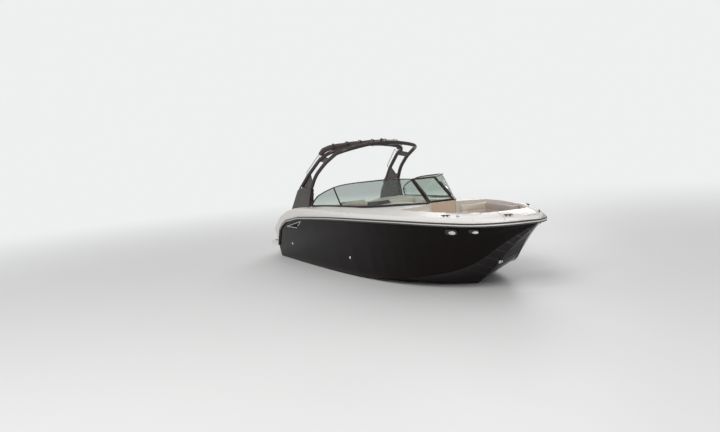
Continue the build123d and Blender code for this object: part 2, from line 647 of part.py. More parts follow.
# Steering wheel
WHEEL_CENTRE = Vector(3470, -610, 1040)
WHEEL_TILT = 28
WHEEL_R = 180
WHEEL_RIM_R = 15
wheel_axis = Vector(-cos(radians(WHEEL_TILT)), 0, sin(radians(WHEEL_TILT)))
wheel_plane = Plane(origin=WHEEL_CENTRE, x_dir=(0, 1, 0), z_dir=wheel_axis)
wheel = wheel_plane * Torus(WHEEL_R, WHEEL_RIM_R)
wheel += wheel_plane * Cylinder(42, 34)
for turn in (90, 210, 330):
    wheel += wheel_plane * Rot(0, 0, turn) * Pos(WHEEL_R / 2, 0, 0) * Box(WHEEL_R, 34, 12)
save("steering_wheel", wheel)
COLUMN_R = 36
column_length = 420
column = Plane(origin=WHEEL_CENTRE - wheel_axis * (17 + SEAT_GAP), z_dir=-wheel_axis) * Cylinder(
    COLUMN_R, column_length, align=(Align.CENTER, Align.CENTER, Align.MIN))
column = column - side_prism(console_side, -COCKPIT_HALF, -CONSOLE_INNER)
column = max(column.solids(), key=lambda piece: piece.center().Z)
save("steering_column", column)
THROTTLE_Y = -COCKPIT_HALF + 93
throttle = block(3655, 3735, THROTTLE_Y - 25, THROTTLE_Y + 25, CONSOLE_ROOF_Z, 1135)
throttle += crosswise(3690, 1135, 24, THROTTLE_Y - 18, THROTTLE_Y + 18)
throttle += bar([(3690, THROTTLE_Y, 1125), (3655, THROTTLE_Y, 1215)], 10, [])
throttle += Pos(3652, THROTTLE_Y, 1222) * Sphere(22)
save("throttle_control", throttle)

# Seats
HELM_SEAT = (2830, -530)
PEDESTAL_R = 48
helm_pedestal = Pos(HELM_SEAT[0], HELM_SEAT[1], SOLE_Z + SEAT_GAP) * Cylinder(
    140, 16, align=(Align.CENTER, Align.CENTER, Align.MIN))
helm_pedestal += Pos(HELM_SEAT[0], HELM_SEAT[1], SOLE_Z + SEAT_GAP) * Cylinder(
    PEDESTAL_R, 330, align=(Align.CENTER, Align.CENTER, Align.MIN))
save("helm_pedestal", helm_pedestal)
SEAT_PLATE_Z = SOLE_Z + SEAT_GAP + 330 + SEAT_GAP
seat_shell = Pos(*HELM_SEAT, 0) * block(-270, 240, -250, 250, SEAT_PLATE_Z, SEAT_PLATE_Z + 30)
seat_shell += Pos(*HELM_SEAT, 0) * side_prism(
    [(-290, SEAT_PLATE_Z), (-240, SEAT_PLATE_Z), (-262, 1240), (-300, 1240)], -240, 240)
save("helm_seat_shell", seat_shell)
CUSHION_BASE = SEAT_PLATE_Z + 30 + SEAT_GAP
helm_cushion = Pos(*HELM_SEAT, 0) * side_prism(
    [(-236, CUSHION_BASE), (245, CUSHION_BASE), (250, CUSHION_BASE + 150), (-150, CUSHION_BASE + 130),
     (-170, 1270), (-256, 1270)], -245, 245)
save("helm_seat_cushion", helm_cushion)

PORT_SEAT = (2380, 3480, 345, COCKPIT_HALF - 4)
SEAT_BASE_TOP = 610
save("port_seat_base", block(PORT_SEAT[0], PORT_SEAT[1], PORT_SEAT[2], PORT_SEAT[3], SOLE_Z + SEAT_GAP, SEAT_BASE_TOP))
port_cushion = block(PORT_SEAT[0] + 10, PORT_SEAT[1] - 10, PORT_SEAT[2] + 5, PORT_SEAT[3] - 5,
                     SEAT_BASE_TOP + SEAT_GAP, SEAT_BASE_TOP + 150)
port_cushion += block(PORT_SEAT[0] + 10, PORT_SEAT[0] + 140, PORT_SEAT[2] + 5, PORT_SEAT[3] - 5,
                      SEAT_BASE_TOP + 100, 1180)
save("port_seat_cushion", port_cushion)
BENCH_X = (COCKPIT_AFT_X + 4, 1880)
save("aft_bench_base", block(BENCH_X[0], BENCH_X[1], -CONSOLE_OUTER + 60, CONSOLE_OUTER - 60, SOLE_Z + SEAT_GAP, SEAT_BASE_TOP))
BENCH_HALF = CONSOLE_OUTER - 76
bench_cushion = block(BENCH_X[0] + 4, BENCH_X[1] + 10, -BENCH_HALF, BENCH_HALF,
                      SEAT_BASE_TOP + SEAT_GAP, SEAT_BASE_TOP + 150)
bench_cushion += block(BENCH_X[0] + 4, BENCH_X[0] + 135, -BENCH_HALF, BENCH_HALF, SEAT_BASE_TOP + 100, 1120)
save("aft_bench_cushion", bench_cushion)
save("sole_mat", block(1900, 3860, -330, 330, SOLE_Z + SEAT_GAP, SOLE_Z + 12))

# Bow cushions: seats along both sides, and backrests round the well
SEAT_CUSHION = 105
bow_inner = FOOTWELL_HALF + 6


def well_half(x, inset):
    for (x0, y0), (x1, y1) in zip(BOW_WELL, BOW_WELL[1:]):
        if x0 <= x <= x1:
            return along(y0, y1, (x - x0) / (x1 - x0)) - inset


side_edge = [(x, well_half(x, 8)) for x in (4880, 5300, 5700, 6050)]
bow_seat = prism([(4880, bow_inner), (FOOTWELL_FORE_X + 8, bow_inner), (FOOTWELL_FORE_X + 8, 40),
                  (6190, 40), (6190, 505)] + side_edge[::-1], BOW_SEAT_Z + SEAT_GAP, BOW_SEAT_Z + SEAT_CUSHION)
save("bow_seat_cushions", pair(bow_seat))
BACK_THICK = 95
back_x = (5010, 5300, 5700, 6090)
bow_back = prism([(x, well_half(x, 8)) for x in back_x] + [(6090, well_half(6090, 8) - BACK_THICK)]
                 + [(x, well_half(x, 8) - BACK_THICK) for x in back_x[-2::-1]],
                 BOW_SEAT_Z + SEAT_CUSHION + SEAT_GAP, 1195)
bow_head = block(4874, 4990, bow_inner, 850, BOW_SEAT_Z + SEAT_CUSHION + SEAT_GAP, 1195)
save("bow_backrests", pair(Compound(children=[*bow_back.solids(), *bow_head.solids()])))

# Arch: feet on the deck, two hoops of tube with side panels between them
FOOT_LOW = [(850, -1130), (1750, -1130), (1750, -1010), (850, -1010)]
FOOT_HIGH = [(1150, -1052, 1480), (1765, -1052, 1408), (1765, -968, 1408), (1150, -968, 1480)]
foot = band([[(x, y, 1000) for x, y in FOOT_LOW], FOOT_HIGH]) - deck - cockpit_liner
foot = max(foot.solids(), key=lambda piece: piece.volume)
TUBE_R = 36
FORE_HOOP = [
    (1700, -1010, 1455), (1930, -968, 1775), (2300, -917, 2003), (2720, -872, 2178),
    (2865, -770, 2222), (2915, -560, 2267), (2932, -280, 2308), (2937, 0, 2322),
]
AFT_HOOP = [
    (1235, -1008, 1515), (1545, -950, 1780), (2000, -886, 2078), (2210, -862, 2155),
    (2330, -770, 2212), (2375, -560, 2256), (2392, -280, 2295), (2398, 0, 2308),
]
FORE_BENDS = [800, 1500, 200, 200, 1200, 1500, 1500]
AFT_BENDS = [800, 900, 160, 180, 1200, 1500, 1500]
ARCH_BAR_R = 24


def hoop(points, radius, bends):
    """Round bar from the starboard end over the middle to port, given for one side."""
    other = [(x, -y, z) for x, y, z in reversed(points[:-1])]
    return bar(points + other, radius, bends + bends[-2::-1])


arch_frame = hoop(FORE_HOOP, TUBE_R, FORE_BENDS) + hoop(AFT_HOOP, TUBE_R, AFT_BENDS)
for y in (-420, 420):
    arch_frame += bar([(2383, y, 2275), (2923, y, 2287)], ARCH_BAR_R, [])
arch_shoe = band([
    [(1165, -1044, 1478.6), (1762, -1044, 1408.7), (1762, -976, 1408.7), (1165, -976, 1478.6)],
    [(1250, -1030, 1560), (1790, -1030, 1500), (1790, -966, 1500), (1250, -966, 1560)],
])
FOLD_AXIS = (1765, 1410)
FOLD_KNUCKLE_R = 14
foot, arch_shoe = hinged(
    foot, arch_shoe, Vector(FOLD_AXIS[0], -1052, FOLD_AXIS[1]), Vector(0, 1, 0), FOLD_KNUCKLE_R, 84)
save("arch_feet", pair(foot))
arch_frame += both_sides(arch_shoe)
save("arch_frame", arch_frame)
PANEL_THICK = 18
LEG_LEAN = (-1005, -945, 1500, 1780)
ARCH_PLATES = [
    [(1290, 1540), (1770, 1500), (1850, 1665), (1740, 1640), (1600, 1800), (1530, 1770)],
    [(1985, 2045), (2330, 2000), (2480, 2085), (2140, 2135)],
]
arch_panels = []
for plate in ARCH_PLATES:
    face = [(x, along(LEG_LEAN[0], LEG_LEAN[1], (z - LEG_LEAN[2]) / (LEG_LEAN[3] - LEG_LEAN[2])), z)
            for x, z in plate]
    panel = band([face, [(x, y + PANEL_THICK, z) for x, y, z in face]]) - arch_frame
    arch_panels.append(max(panel.solids(), key=lambda piece: piece.volume))
save("arch_panels", pair(Compound(children=arch_panels)))
BOOT = [(2070, -886, 2160), (2130, -868, 2245), (2225, -775, 2292), (2305, -560, 2315),
        (2312, -280, 2330), (2315, 0, 2333)]
BOOT_BENDS = [110, 200, 700, 1500, 1500]
BOOT_R = 64
boot = hoop(BOOT, BOOT_R, BOOT_BENDS)
STRUT_R = 9
strut = bar([(2010, -884, 2085), (1930, -872, 2170), (1420, -950, 1815), (1500, -948, 1765)], STRUT_R, [25, 25]) - arch_frame
save("bimini_struts", pair(max(strut.solids(), key=lambda piece: piece.volume)))
struts = both_sides(max(strut.solids(), key=lambda piece: piece.volume))
save("bimini_boot", max((boot - arch_frame - struts).solids(), key=lambda piece: piece.volume))
save("anchor_light", Pos(2935, 0, 2322 + TUBE_R - 20) * Cylinder(22, 60, align=(Align.CENTER, Align.CENTER, Align.MIN)) - arch_frame)

# Swim platform
PLATFORM = [(-SEAT_GAP, -1130), (-420, -1130), (-560, -980), (-560, 980), (-420, 1130), (-SEAT_GAP, 1130)]
PLATFORM_TOP_Z = 310
platform = prism(PLATFORM, PLATFORM_TOP_Z - 75, PLATFORM_TOP_Z)
save("swim_platform", platform)
save("platform_mat", prism([(-60, -1060), (-400, -1060), (-510, -930), (-510, 930), (-400, 1060), (-60, 1060)],
                           PLATFORM_TOP_Z + SEAT_GAP, PLATFORM_TOP_Z + 8))

# Stern drive: housing on the transom, gimbal that steers, leg that trims, two propellers turning opposite ways
HOUSING_THICK = 30
STEER_X = -110
PIN_R = 12
RING_HALF = 128
RING_X = (-125, -95)
RING_Z = (-320, 60)
housing = block(-HOUSING_THICK, -SEAT_GAP, -190, 190, -345, 150)
for z in (RING_Z[0] - 22, RING_Z[1] + 2):
    housing += block(STEER_X - 22, -HOUSING_THICK, -40, 40, z, z + 20)
ring = block(*RING_X, -RING_HALF, RING_HALF, *RING_Z)
steer_pin = Pos(STEER_X, 0, RING_Z[0] - 22) * Cylinder(
    PIN_R, RING_Z[1] - RING_Z[0] + 44, align=(Align.CENTER, Align.CENTER, Align.MIN))
housing -= Pos(STEER_X, 0, -500) * Cylinder(PIN_R + PIN_CLEAR, 1000, align=(Align.CENTER, Align.CENTER, Align.MIN))
ring += steer_pin
save("gimbal_housing", housing)

TRIM_PIVOT = (-162, -110)
LEG_HALF = 86


ring_arm = side_prism([(RING_X[0] + 2, -60), (RING_X[0] + 2, -160), (-180, -140), (-180, -80)], LEG_HALF + 6, LEG_HALF + 24)
ring_arm += crosswise(*TRIM_PIVOT, PIN_R, LEG_HALF - 30, LEG_HALF + 10)
CYL_Y = 118
CYL_BASE = (-150, -283)
CYL_EYE = (-430, -296)
CYL_PIN_R = 8
for y0 in (CYL_Y - 24, CYL_Y + 16):
    ring_arm += side_prism([(RING_X[0] + 2, -255), (RING_X[0] + 2, -311), (-168, -300), (-168, -266)], y0, y0 + 8)
ring_arm += crosswise(*CYL_BASE, CYL_PIN_R, CYL_Y - 20, CYL_Y + 20)
ring += both_sides(ring_arm)
save("gimbal_ring", ring)

PROP_Z = -600
PROP_FACE_X = -590
SHAFT_R = 15
COWL = [
    # height, fore x, aft x, half width
    (-240, -160, -446, 78), (-205, -162, -490, LEG_HALF), (-110, -168, -500, LEG_HALF), (-52, -178, -430, 62),
]
cowl = []
for z, fore, aft, half in COWL:
    side = [(fore, half), (along(fore, aft, 0.55), half), (aft, half * 0.4)]
    cowl.append([(x, y, z) for x, y in side + [(x, -y) for x, y in reversed(side)]])
leg = band(cowl)
leg += foil([(-200, -160, -492, 70), (-330, -258, -448, 40), (-545, -245, -488, 34)])
leg += foil([(-600, -245, -500, 22), (-700, -300, -478, 14), (-800, -362, -452, 7)])
leg += crosswise(*TRIM_PIVOT, 30, -LEG_HALF, LEG_HALF)
PLATE = [(-215, 40), (-330, 118), (-600, 118), (-645, 70)]
leg += prism(PLATE + [(x, -y) for x, y in reversed(PLATE)], -352, -340)
leg += Pos(-400, 0, PROP_Z) * Rot(0, 90, 0) * Cylinder(72, 380)
leg += Pos(-210, 0, PROP_Z) * Sphere(72)
leg += Pos(-680, 0, PROP_Z) * Rot(0, 90, 0) * Cylinder(SHAFT_R, 190)
leg += both_sides(crosswise(*CYL_EYE, CYL_PIN_R, 0, CYL_Y + 13))
leg -= both_sides(crosswise(*TRIM_PIVOT, PIN_R + PIN_CLEAR, LEG_HALF - 31, LEG_HALF + 1))
save("drive_leg", leg)

# Blades as sections from the hub to the tip, each turned to the pitch at its radius
HUB_R = 66
HUB_LONG = 78
PITCH = 520
BLADE = [
    # radius, chord, thickness, how far the section lies back
    (56, 84, 16, 0), (95, 108, 12, 4), (135, 122, 8, 12), (170, 98, 5, 24), (194, 38, 3, 38),
]
LENS = [(-0.5, 0), (-0.2, 0.5), (0.2, 0.5), (0.5, 0), (0.2, -0.5), (-0.2, -0.5)]
blade_sections = []
for radius, chord, thick, back in BLADE:
    angle = atan2(PITCH, 2 * pi * radius)
    flat = [(chord * a - back, thick * t) for a, t in LENS]
    blade_sections.append([
        (a * sin(angle) + t * cos(angle), a * cos(angle) - t * sin(angle), radius) for a, t in flat
    ])
right_blade = band(blade_sections)
left_blade = mirror(right_blade, about=Plane.XZ)


def propeller(front_x, blade, turn, count):
    """Propeller whose hub starts at front_x and runs aft."""
    middle = front_x - HUB_LONG / 2
    wheel = Pos(middle, 0, PROP_Z) * Rot(0, 90, 0) * Cylinder(HUB_R, HUB_LONG)
    for k in range(count):
        wheel += Pos(middle, 0, PROP_Z) * Rot(turn + k * 360 / count, 0, 0) * blade
    return wheel - Pos(middle, 0, PROP_Z) * Rot(0, 90, 0) * Cylinder(SHAFT_R + PIN_CLEAR, 2 * HUB_LONG)


save("propeller_fore", propeller(PROP_FACE_X - SEAT_GAP, right_blade, 0, 3))
save("propeller_aft", propeller(PROP_FACE_X - 2 * SEAT_GAP - HUB_LONG, left_blade, 30, 3))

# Trim cylinders, each a barrel pinned to the gimbal and a rod that ends at the leg's pin
BARREL_R = 26
ROD_R = 12
BARREL_LONG = 200
ROD_START = 70
EYE_LOOSE = 7
cyl_run = Vector(CYL_EYE[0] - CYL_BASE[0], 0, CYL_EYE[1] - CYL_BASE[1])
cyl_axis = cyl_run.normalized()
cyl_start = Vector(CYL_BASE[0], CYL_Y, CYL_BASE[1])


def cylinder_run(radius, start, end):
    plane = Plane(origin=cyl_start + cyl_axis * start, z_dir=cyl_axis)
    return plane * Cylinder(radius, end - start, align=(Align.CENTER, Align.CENTER, Align.MIN))


barrel = cylinder_run(BARREL_R, 24, BARREL_LONG) + cylinder_run(14, 10, 30)
barrel += crosswise(*CYL_BASE, 18, CYL_Y - 15, CYL_Y + 15)
barrel -= crosswise(*CYL_BASE, CYL_PIN_R + PIN_CLEAR, CYL_Y - 30, CYL_Y + 30)
barrel -= cylinder_run(ROD_R + PIN_CLEAR, ROD_START - 10, BARREL_LONG + 1)
rod = cylinder_run(ROD_R, ROD_START, cyl_run.length - CYL_PIN_R - EYE_LOOSE - 3)
rod += crosswise(*CYL_EYE, CYL_PIN_R + EYE_LOOSE + 8, CYL_Y - 11, CYL_Y + 11)
rod -= crosswise(*CYL_EYE, CYL_PIN_R + EYE_LOOSE, CYL_Y - 30, CYL_Y + 30)
save("trim_barrels", pair(barrel))
save("trim_rods", pair(rod))

# Deck and hull hardware
EYE_X, EYE_Z, EYE_R = 6262, 432, 9
bow_eye = Pos(EYE_X + 26, 0, EYE_Z - 12) * Rot(90, 0, 0) * Cylinder(24, 16)
bow_eye += Pos(EYE_X + 4, 0, EYE_Z - 6) * Box(40, 16, 40) + Pos(EYE_X - 4, 0, EYE_Z - 12) * Box(24, 60, 60)
bow_eye -= Pos(EYE_X + 26, 0, EYE_Z - 12) * Rot(90, 0, 0) * Cylinder(EYE_R, 90)
bow_eye = max((bow_eye - hull).solids(), key=lambda piece: piece.center().X)
save("bow_eye", bow_eye)
eye = Pos(-20 - SEAT_GAP, -820, 420) * Rot(90, 0, 0) * (Cylinder(20, 14) - Cylinder(9, 20))
save("stern_eyes", pair(eye))
CLEATS = [
    # x, half breadth, length
    (6850, 285, 130), (6040, 780, 150), (700, 1080, 200),
]
cleats = []
for x, y, long in CLEATS:
    z = min(deck_height(x, y), quarter_height(x))
    heading = degrees(atan2(side_half(x - 60, 1060) - side_half(x + 60, 1060), 120))
    cleat = extrude(Plane.XY.offset(20) * SlotOverall(long, 22), 12)
    for end in (-long / 5, long / 5):
        cleat += Pos(end, 0, -20) * Cylinder(9, 46, align=(Align.CENTER, Align.CENTER, Align.MIN))
    cleat = Pos(x, -y, z) * Rot(0, 0, heading) * cleat
    cleats.append(max((cleat - deck).solids(), key=lambda piece: piece.volume))
save("cleats", pair(Compound(children=cleats)))

# Flush hull lights at the bow and round fittings through the bottom, each on the skin's normal
BOW_LIGHTS = [
    # x, half breadth, z, long, tall
    (6164, 757, 947, 200, 88), (6485, 581, 961, 160, 60),
]
LIGHT_PROUD = 7
lights = []
for x, y, z, long, tall in BOW_LIGHTS:
    rows = [Vector(x + d, -side_half(x + d, z + e), z + e) for d, e in ((0, 0), (40, 0), (0, 40))]
    fore = (rows[1] - rows[0]).normalized()
    out = fore.cross(rows[2] - rows[0]).normalized()
    out = out if out.Y < 0 else -out
    plate = extrude(Plane(origin=rows[0] - out * 20, x_dir=fore, z_dir=out) * SlotOverall(long, tall), 20 + LIGHT_PROUD)
    lights.append(max((plate - hull).solids(), key=lambda piece: piece.volume))
save("bow_lights", pair(Compound(children=lights)))
CAP_R = 34
cap = Pos(6213, -672, deck_height(6213, 672) - 6) * Rot(-12, 6, 0) * Cylinder(
    CAP_R, 14, align=(Align.CENTER, Align.CENTER, Align.MIN))
save("filler_cap", max((cap - deck).solids(), key=lambda piece: piece.volume))
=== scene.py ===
import math

import bmesh
import bpy
from mathutils import Matrix, Vector, noise
from mathutils.bvhtree import BVHTree


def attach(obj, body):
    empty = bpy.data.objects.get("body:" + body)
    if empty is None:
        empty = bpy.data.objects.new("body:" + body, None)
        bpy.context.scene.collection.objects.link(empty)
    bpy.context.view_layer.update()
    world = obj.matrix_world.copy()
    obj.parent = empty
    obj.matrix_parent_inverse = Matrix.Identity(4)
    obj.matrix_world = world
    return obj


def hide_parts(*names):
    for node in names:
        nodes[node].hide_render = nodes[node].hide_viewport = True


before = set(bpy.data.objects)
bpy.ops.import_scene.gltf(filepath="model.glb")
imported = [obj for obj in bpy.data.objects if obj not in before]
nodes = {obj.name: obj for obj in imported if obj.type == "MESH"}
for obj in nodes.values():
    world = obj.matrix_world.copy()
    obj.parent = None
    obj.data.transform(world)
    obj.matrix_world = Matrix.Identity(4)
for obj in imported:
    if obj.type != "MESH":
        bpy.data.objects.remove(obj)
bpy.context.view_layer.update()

# Light, floor and camera. The boat lies at rest, afloat: the pale floor is at its waterline.
# One wide softbox stands high to starboard and ahead, and a weaker one to port and astern.
CAMERA_AT = (14.518, -6.562, 2.304)
CAMERA_HEADING = math.radians(62.685)
CAMERA_DOWN = math.radians(5.780)
CAMERA_ROLL = math.radians(-4.388)
CAMERA_LENS = 35.0
FLOOR_SIZE = 400.0
FLOOR_COLOUR = (0.80, 0.80, 0.79, 1)
SKY_COLOUR = (0.86, 0.865, 0.87, 1)
SKY_LIGHT = 0.62
FLOOR_FADE = (4.0, 19.0)
BOAT_MIDDLE = (3.5, 0, 0)
SOFTBOX_AIM = (3.5, 0.0, 0.8)
SOFTBOX_SIZE = 8.0
SOFTBOXES = [
    # name, place, power
    ("key_softbox", (12.0, -10.0, 11.0), 1100),
    ("fill_softbox", (-8.0, 11.0, 8.0), 520),
]


class Value:
    """A shader socket that takes Python arithmetic and adds the Math nodes for it."""

    def __init__(self, finish, socket):
        self.finish = finish
        self.socket = socket

    def math(self, operation, first, second):
        return self.finish.node("ShaderNodeMath", {"operation": operation}, {0: first, 1: second})

    def __add__(self, other):
        return self.math("ADD", self, other)

    def __sub__(self, other):
        return self.math("SUBTRACT", self, other)

    def __rsub__(self, other):
        return self.math("SUBTRACT", other, self)

    def __mul__(self, other):
        return self.math("MULTIPLY", self, other)

    __radd__ = __add__
    __rmul__ = __mul__


class Finish:
    """One material, built node by node round its Principled shader."""

    def __init__(self, name, **sockets):
        self.material = bpy.data.materials.new(name)
        self.material.use_nodes = True
        self.tree = self.material.node_tree
        self.shader = self.tree.nodes["Principled BSDF"]
        self.fill(self.shader, {key.replace("_", " "): value for key, value in sockets.items()})

    def fill(self, node, sockets):
        """Gives a node's inputs their values, or links them."""
        for key, value in sockets.items():
            if isinstance(value, Value):
                self.tree.links.new(value.socket, node.inputs[key])
            else:
                node.inputs[key].default_value = value

    def node(self, kind, settings={}, sockets={}, out=0):
        """Adds a node of any kind and returns one of its outputs."""
        node = self.tree.nodes.new(kind)
        for key, value in settings.items():
            setattr(node, key, value)
        self.fill(node, sockets)
        return Value(self, node.outputs[out])

    def surface(self, **sockets):
        """Fills inputs of the Principled shader, whose names have underscores for spaces."""
        self.fill(self.shader, {key.replace("_", " "): value for key, value in sockets.items()})

    def place(self):
        return self.node("ShaderNodeTexCoord", {}, {}, "Object")

    def axis(self, letter):
        return self.node("ShaderNodeSeparateXYZ", {}, {0: self.place()}, letter)

    def noise(self, scale, detail=3.0, roughness=0.55, stretch=(1, 1, 1)):
        at = self.node("ShaderNodeMapping", {}, {"Vector": self.place(), "Scale": stretch})
        sockets = {"Vector": at, "Scale": scale, "Detail": detail, "Roughness": roughness}
        return self.node("ShaderNodeTexNoise", {}, sockets, "Fac")

    def cells(self, scale, feature="F1"):
        """The distance to the middle of a cell, or with DISTANCE_TO_EDGE to its edge."""
        sockets = {"Vector": self.place(), "Scale": scale}
        return self.node("ShaderNodeTexVoronoi", {"feature": feature}, sockets, "Distance")

    def wave(self, direction, scale):
        settings = {"bands_direction": direction}
        return self.node("ShaderNodeTexWave", settings, {"Vector": self.place(), "Scale": scale}, "Fac")

    def ramp(self, value, low, high, to_low=0.0, to_high=1.0):
        sockets = {"Value": value, 1: low, 2: high, 3: to_low, 4: to_high}
        return self.node("ShaderNodeMapRange", {"interpolation_type": "SMOOTHSTEP"}, sockets)

    def mix(self, factor, first, second):
        return self.node("ShaderNodeMix", {"data_type": "RGBA"}, {0: factor, 6: first, 7: second}, 2)

    def bump(self, height, distance, strength=1.0):
        sockets = {"Height": height, "Distance": distance, "Strength": strength}
        self.surface(Normal=self.node("ShaderNodeBump", {}, sockets))


def add_mesh(name, shape, finish, body):
    """Makes an object of a bmesh, in place, with one finish, riding on a body."""
    mesh = bpy.data.meshes.new(name)
    shape.to_mesh(mesh)
    shape.free()
    piece = bpy.data.objects.new(name, mesh)
    bpy.context.scene.collection.objects.link(piece)
    mesh.materials.append(finish.material)
    if body:
        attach(piece, body)
    return piece


floor_shape = bmesh.new()
bmesh.ops.create_grid(floor_shape, x_segments=1, y_segments=1, size=FLOOR_SIZE)
floor_finish = Finish("still_floor", Base_Color=FLOOR_COLOUR)
grain = floor_finish.noise(0.35, 2.0)
floor_finish.surface(Roughness=floor_finish.ramp(grain, 0.3, 0.7, 0.5, 0.62))
away = floor_finish.node(
    "ShaderNodeVectorMath", {"operation": "DISTANCE"}, {0: floor_finish.place(), 1: BOAT_MIDDLE}, "Value")
to_camera = floor_finish.node("ShaderNodeLightPath", {}, {}, "Is Camera Ray")
haze = floor_finish.node("ShaderNodeEmission", {}, {"Color": SKY_COLOUR})
solid = Value(floor_finish, floor_finish.shader.outputs[0])
far_off = floor_finish.ramp(away, *FLOOR_FADE) * to_camera
hazy = floor_finish.node("ShaderNodeMixShader", {}, {0: far_off, 1: solid, 2: haze})
seen_below = floor_finish.node("ShaderNodeNewGeometry", {}, {}, "Backfacing")
clear = floor_finish.node("ShaderNodeBsdfTransparent")
floor_mix = floor_finish.node("ShaderNodeMixShader", {}, {0: seen_below, 1: hazy, 2: clear})
floor_finish.fill(floor_finish.tree.nodes["Material Output"], {"Surface": floor_mix})
floor = add_mesh("still_floor", floor_shape, floor_finish, None)

world = bpy.data.worlds.new("sky")
bpy.context.scene.world = world
world.use_nodes = True
sky = world.node_tree
backdrop = sky.nodes["Background"]
backdrop.inputs["Color"].default_value = SKY_COLOUR
backdrop.inputs["Strength"].default_value = SKY_LIGHT
plain = sky.nodes.new("ShaderNodeBackground")
plain.inputs["Color"].default_value = SKY_COLOUR
rays = sky.nodes.new("ShaderNodeLightPath")
choose = sky.nodes.new("ShaderNodeMixShader")
sky.links.new(rays.outputs["Is Camera Ray"], choose.inputs[0])
sky.links.new(backdrop.outputs[0], choose.inputs[1])
sky.links.new(plain.outputs[0], choose.inputs[2])
sky.links.new(choose.outputs[0], sky.nodes["World Output"].inputs["Surface"])

for name, place, power in SOFTBOXES:
    lamp = bpy.data.lights.new(name, "AREA")
    lamp.size = SOFTBOX_SIZE
    lamp.energy = power
    holder = bpy.data.objects.new(name, lamp)
    bpy.context.scene.collection.objects.link(holder)
    holder.location = place
    holder.rotation_euler = (Vector(SOFTBOX_AIM) - Vector(place)).to_track_quat("-Z", "Y").to_euler()

bpy.context.scene.view_settings.view_transform = "Standard"
lens = bpy.data.cameras.new("camera")
lens.lens = CAMERA_LENS
lens.sensor_width = 36.0
lens.clip_end = 1000.0
camera = bpy.data.objects.new("camera", lens)
bpy.context.scene.collection.objects.link(camera)
ahead = Vector((
    -math.sin(CAMERA_HEADING) * math.cos(CAMERA_DOWN),
    math.cos(CAMERA_HEADING) * math.cos(CAMERA_DOWN),
    -math.sin(CAMERA_DOWN),
))
level = Vector((math.cos(CAMERA_HEADING), math.sin(CAMERA_HEADING), 0))
upward = level.cross(ahead)
right = level * math.cos(CAMERA_ROLL) + upward * math.sin(CAMERA_ROLL)
top = upward * math.cos(CAMERA_ROLL) - level * math.sin(CAMERA_ROLL)
camera.matrix_world = Matrix.Translation(CAMERA_AT) @ Matrix((right, top, -ahead)).transposed().to_4x4()
bpy.context.scene.camera = camera

# Hull. Glass fibre laid up in a polished mould, with near black gelcoat from keel to rub rail.
# Long shallow waves of the laminate show in its reflections, and a dull film lies at the water.
HULL_COLOUR = (0.0070, 0.0045, 0.0045, 1)
HULL_FILM = (0.045, 0.038, 0.034, 1)
WELD_GAP = 0.00002


def shade(colour, by):
    """A colour made lighter or darker."""
    return tuple(min(1.0, c * by) for c in colour[:3]) + (1,)


def dress(finish, *names):
    """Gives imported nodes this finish, smooth over their shallow facets and crisp at their edges."""
    for name in names:
        piece = nodes[name]
        piece.data.materials.clear()
        piece.data.materials.append(finish.material)
        smooth(piece)


def smooth(piece, angle=28):
    """Shades a piece smooth, with crisp edges where its faces meet at more than an angle."""
    for face in piece.data.polygons:
        face.use_smooth = True
    piece.modifiers.new("weld", "WELD").merge_threshold = WELD_GAP
    edges = piece.modifiers.new("edges", "EDGE_SPLIT")
    edges.split_angle = math.radians(angle)


hull_gelcoat = Finish("hull_gelcoat", IOR=1.17)
fleck = hull_gelcoat.noise(9.0, 4.0)
height = hull_gelcoat.axis("Z")
film = hull_gelcoat.ramp(height + (fleck - 0.5) * 0.12, 0.02, 0.13, 0.5, 0.0)
tone = hull_gelcoat.mix(fleck, shade(HULL_COLOUR, 0.85), shade(HULL_COLOUR, 1.2))
hull_gelcoat.surface(Base_Color=hull_gelcoat.mix(film, tone, HULL_FILM))
hull_gelcoat.surface(Roughness=hull_gelcoat.ramp(fleck, 0.3, 0.7, 0.09, 0.13) + film * 0.25)
hull_gelcoat.bump(hull_gelcoat.noise(2.2, 1.0), 0.0022, 0.5)
dress(hull_gelcoat, "hull", "hull_strakes")

# Stainless fittings. Eyes, rail strip, seat post, filler cap and the struts of the arch, all turned
# or bent in stainless steel and polished, with fine marks of handling in their gloss.
def bright_metal(name, colour, roughness, scale=60.0):
    """Polished or brushed metal, with fine handling marks in its gloss."""
    finish = Finish(name, Metallic=1.0)
    marks = finish.noise(scale, 5.0, 0.65)
    finish.surface(
        Base_Color=finish.mix(marks, shade(colour, 0.92), colour),
        Roughness=finish.ramp(marks, 0.3, 0.75, roughness * 0.75, roughness * 1.6),
    )
    finish.bump(finish.noise(scale * 6, 2.0), 0.0002, 0.3)
    return finish


stainless = bright_metal("stainless", (0.80, 0.80, 0.79, 1), 0.10)
dress(stainless, "rail_insert", "bow_eye", "stern_eyes", "helm_pedestal", "bimini_struts", "filler_cap")

# Side vents. Dark louvred inlets of the engine bay, moulded in grained plastic under the rail.
# Each has a bright trim round it, pressed from stainless strip, which follows the hull's side.
VENT = [(0.770, 0.720), (1.645, 0.888), (1.370, 0.723)]
VENT_TRIM_IN = 0.022
VENT_TRIM_R = 0.0075
SURFACE_STEP = 0.03
vent_plastic = Finish("vent_plastic")
soot = vent_plastic.noise(26.0, 4.0)
vent_plastic.surface(
    Base_Color=vent_plastic.mix(soot, (0.008, 0.0075, 0.0075, 1), (0.02, 0.019, 0.019, 1)),
    Roughness=vent_plastic.ramp(soot, 0.3, 0.7, 0.42, 0.6),
)
vent_plastic.bump(vent_plastic.noise(420.0, 2.0), 0.0003, 0.5)
dress(vent_plastic, "side_vents")


def skin(*names):
    """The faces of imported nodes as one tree, on which small pieces are laid."""
    shape = bmesh.new()
    for name in names:
        shape.from_mesh(nodes[name].data)
    tree = BVHTree.FromBMesh(shape)
    shape.free()
    return tree


